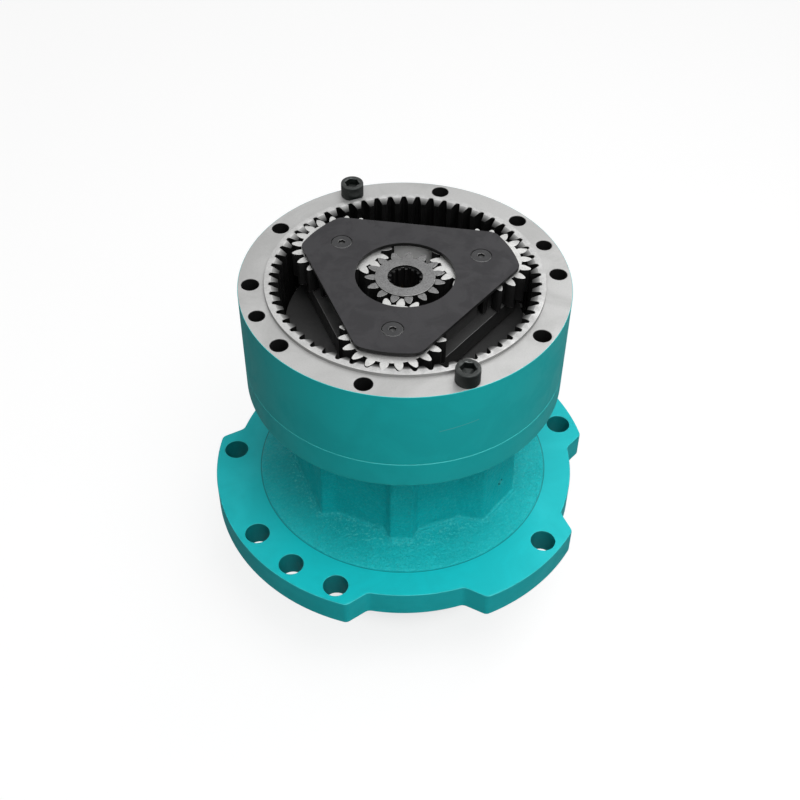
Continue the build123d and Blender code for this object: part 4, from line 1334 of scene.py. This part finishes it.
    def carrier(self, kit: Kit) -> None:
        """Makes and dresses the carrier's two plates, its posts and its screws."""
        outlines = self.triangle(circle(self.plate_bore, 160), self.screw_head + 0.6 * MM)
        top = prism(outlines, self.plate_low, self.plate_high, edge=0.5 * MM).piece("carrier_top_plate")
        show(settle(top), kit.plate, "carrier_1", "plate_steel", "carrier_1_top_plate")
        outlines = self.triangle(circle(self.spider_bore, 96), self.pin)
        levels = (self.spider_low, self.spider_high)
        spider = prism(outlines, *levels, edge=0.6 * MM).piece("carrier_spider_plate")
        show(settle(spider), kit.spider, "carrier_1", "carrier_iron", "carrier_1_spider")
        posts = kit.spread(self.post(), "carrier_posts", kit.post, 3, start=pi / 3)
        show(posts, kit.post, "carrier_1", "carrier_iron")
        seed = revolve(self.flat_screw, 72)
        screws = kit.spread(seed, "plate_flat_screws", kit.flat_screw, 3, self.centre)
        show(screws, kit.flat_screw, "carrier_1", "flat_screw_steel", "top_plate_screws")

    def build(self, kit: Kit) -> None:
        """Makes and dresses the first stage."""
        self.planets(kit)
        self.sun(kit)
        self.carrier(kit)


def dress_cad(nodes: dict[str, Piece], kit: Kit) -> None:
    """Gives every CAD node its material, replaced ones too.

    Args:
        nodes: The frame's nodes by name.
        kit: The finishes.
    """
    looks = (
        (kit.planet, "planet"),
        (kit.sun, "sun"),
        (kit.bronze, "washers", "spacer"),
        (kit.bearing, "needle", "cup", "cone", "rollers"),
        (kit.spider, "carrier_1_spider"),
        (kit.plate, "carrier_1_top_plate", "shaft_retainer"),
        (kit.disc, "carrier_2"),
        (kit.flat_screw, "top_plate_screws"),
        (kit.screw, "cap_screws", "retainer_screws"),
        (kit.spring, "circlip", "snap_ring"),
        (kit.rubber, "oil_seal", "register_seal"),
        (kit.flange, "housing"),
        (kit.ring, "ring_gear"),
    )
    for name, node in sorted(nodes.items()):
        finish = kit.shaft
        for look, *parts in looks:
            if any(part in name for part in parts):
                finish = look
        node.data.materials.clear()
        node.data.materials.append(finish)
        LOG.info("%s dressed with %s", name, finish.name)


# Studio


@dataclass
class Studio:
    """Camera, floor and lights round the gearbox."""

    eye: Corner = (-0.3479, -0.8510, 1.0506)
    heading: float = radians(22.0)
    pitch: float = radians(45.157)
    roll: float = radians(0.635)
    lens: float = 54.0
    floor_height: float = -0.1115
    floor_half: float = 6.0
    glow: float = 0.84
    # radius and depth of the painted soft shadow under the gearbox
    shade_radius: float = 0.14
    shade: float = 0.25
    world_light: float = 0.11
    aim: Corner = (0.0, 0.0, 0.15)
    lamps: tuple[tuple[str, Corner, float], ...] = (
        ("key", (0.35, -0.45, 1.75), 11.0),
        ("behind_right", (0.55, 0.75, 1.50), 5.5),
        ("behind_left", (-0.55, 0.75, 1.50), 1.2),
        ("front", (0.10, -0.90, 1.50), 6.0),
        ("low_right", (0.75, -1.00, 1.10), 2.2),
    )

    def camera(self) -> None:
        """Places the camera at the photograph's view."""
        data = bpy.data.cameras.new("view")
        data.lens, data.sensor_width, data.sensor_fit, data.clip_end = self.lens, 36.0, "HORIZONTAL", 50.0
        camera = bpy.data.objects.new("view", data)
        bpy.context.scene.collection.objects.link(camera)
        (c, s), flat = polar(1.0, self.heading), cos(self.pitch)
        forward, right = Vector((s * flat, c * flat, -sin(self.pitch))), Vector((c, -s, 0.0))
        up = right.cross(forward)
        c, s = polar(1.0, self.roll)
        axes = Matrix((right * c + up * s, up * c - right * s, -forward)).transposed()
        camera.matrix_world = Matrix.Translation(self.eye) @ axes.to_4x4()
        bpy.context.scene.camera = camera

    def floor(self) -> None:
        """Makes the pale floor, which glows for the camera except in a painted soft shadow under the gearbox.
        """
        half, low = self.floor_half, self.floor_height
        ways = ((-half, -half), (half, -half), (half, half), (-half, half))
        plane = Shell([(x, y, low) for x, y in ways], [(0, 1, 2, 3)]).piece("floor")
        bench = MaterialBench("pale_floor")
        # painted shadow: the glow fades out towards the axis
        radius, rim = bench.radius(bench.place()), self.shade_radius
        under = bench.span(radius, rim, rim / 4, 1.0, self.shade)
        glow = bench.times(bench.add("ShaderNodeLightPath")["Is Camera Ray"], self.glow, under)
        look = {"Base Color": (0.24, 0.24, 0.24, 1), "Roughness": 0.9, "Emission Strength": glow}
        plane.data.materials.append(bench.close({**look, "Emission Color": (1, 1, 1, 1)}))

    def world(self) -> None:
        """Sets a world that is white where it is seen and dimmer as a light."""
        world = bpy.data.worlds.new("studio")
        world.use_nodes = True
        world.node_tree.nodes.clear()
        bench = Bench(world.node_tree)
        path = bench.add("ShaderNodeLightPath")
        seen = bench.math("MAXIMUM", path["Is Camera Ray"], path["Is Glossy Ray"])
        seen = bench.math("MAXIMUM", seen, path["Is Transmission Ray"])
        strength = bench.math("MULTIPLY_ADD", seen, 1 - self.world_light, self.world_light)
        back = bench.add("ShaderNodeBackground", {"Color": (1, 1, 1, 1), "Strength": strength})
        bench.add("ShaderNodeOutputWorld", {"Surface": back[0]})
        bpy.context.scene.world = world

    def lamp(self, name: str, seen: Corner, watts: float) -> None:
        """Adds a square soft light of one metre that faces the gearbox.

        Args:
            name: Name of the light.
            seen: Where it hangs: to the right of the view, away from the camera, and up.
            watts: Its power.
        """
        across, away, height = seen
        c, s = polar(1.0, self.heading)
        place = (across * c + away * s, away * c - across * s, height)
        data = bpy.data.lights.new(name, "AREA")
        data.size, data.energy = 1.0, watts
        light = bpy.data.objects.new(name, data)
        bpy.context.scene.collection.objects.link(light)
        turn = (Vector(self.aim) - Vector(place)).to_track_quat("-Z", "Y")
        light.matrix_world = Matrix.Translation(place) @ turn.to_matrix().to_4x4()

    def build(self) -> None:
        """Sets up the whole studio."""
        self.camera()
        self.floor()
        self.world()
        for lamp in self.lamps:
            self.lamp(*lamp)
        bpy.context.scene.view_settings.view_transform = "Standard"


def main() -> None:
    """Builds the studio and the gearbox in order."""
    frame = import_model()
    Studio().build()
    kit = Kit()
    dress_cad(frame["nodes"], kit)
    Housing().build(kit)
    RingGear().build(kit)
    CapScrews().build(kit)
    FirstStage().build(kit)


if __name__ == "__main__":
    logging.basicConfig(level=logging.INFO, format="%(message)s")
    main()
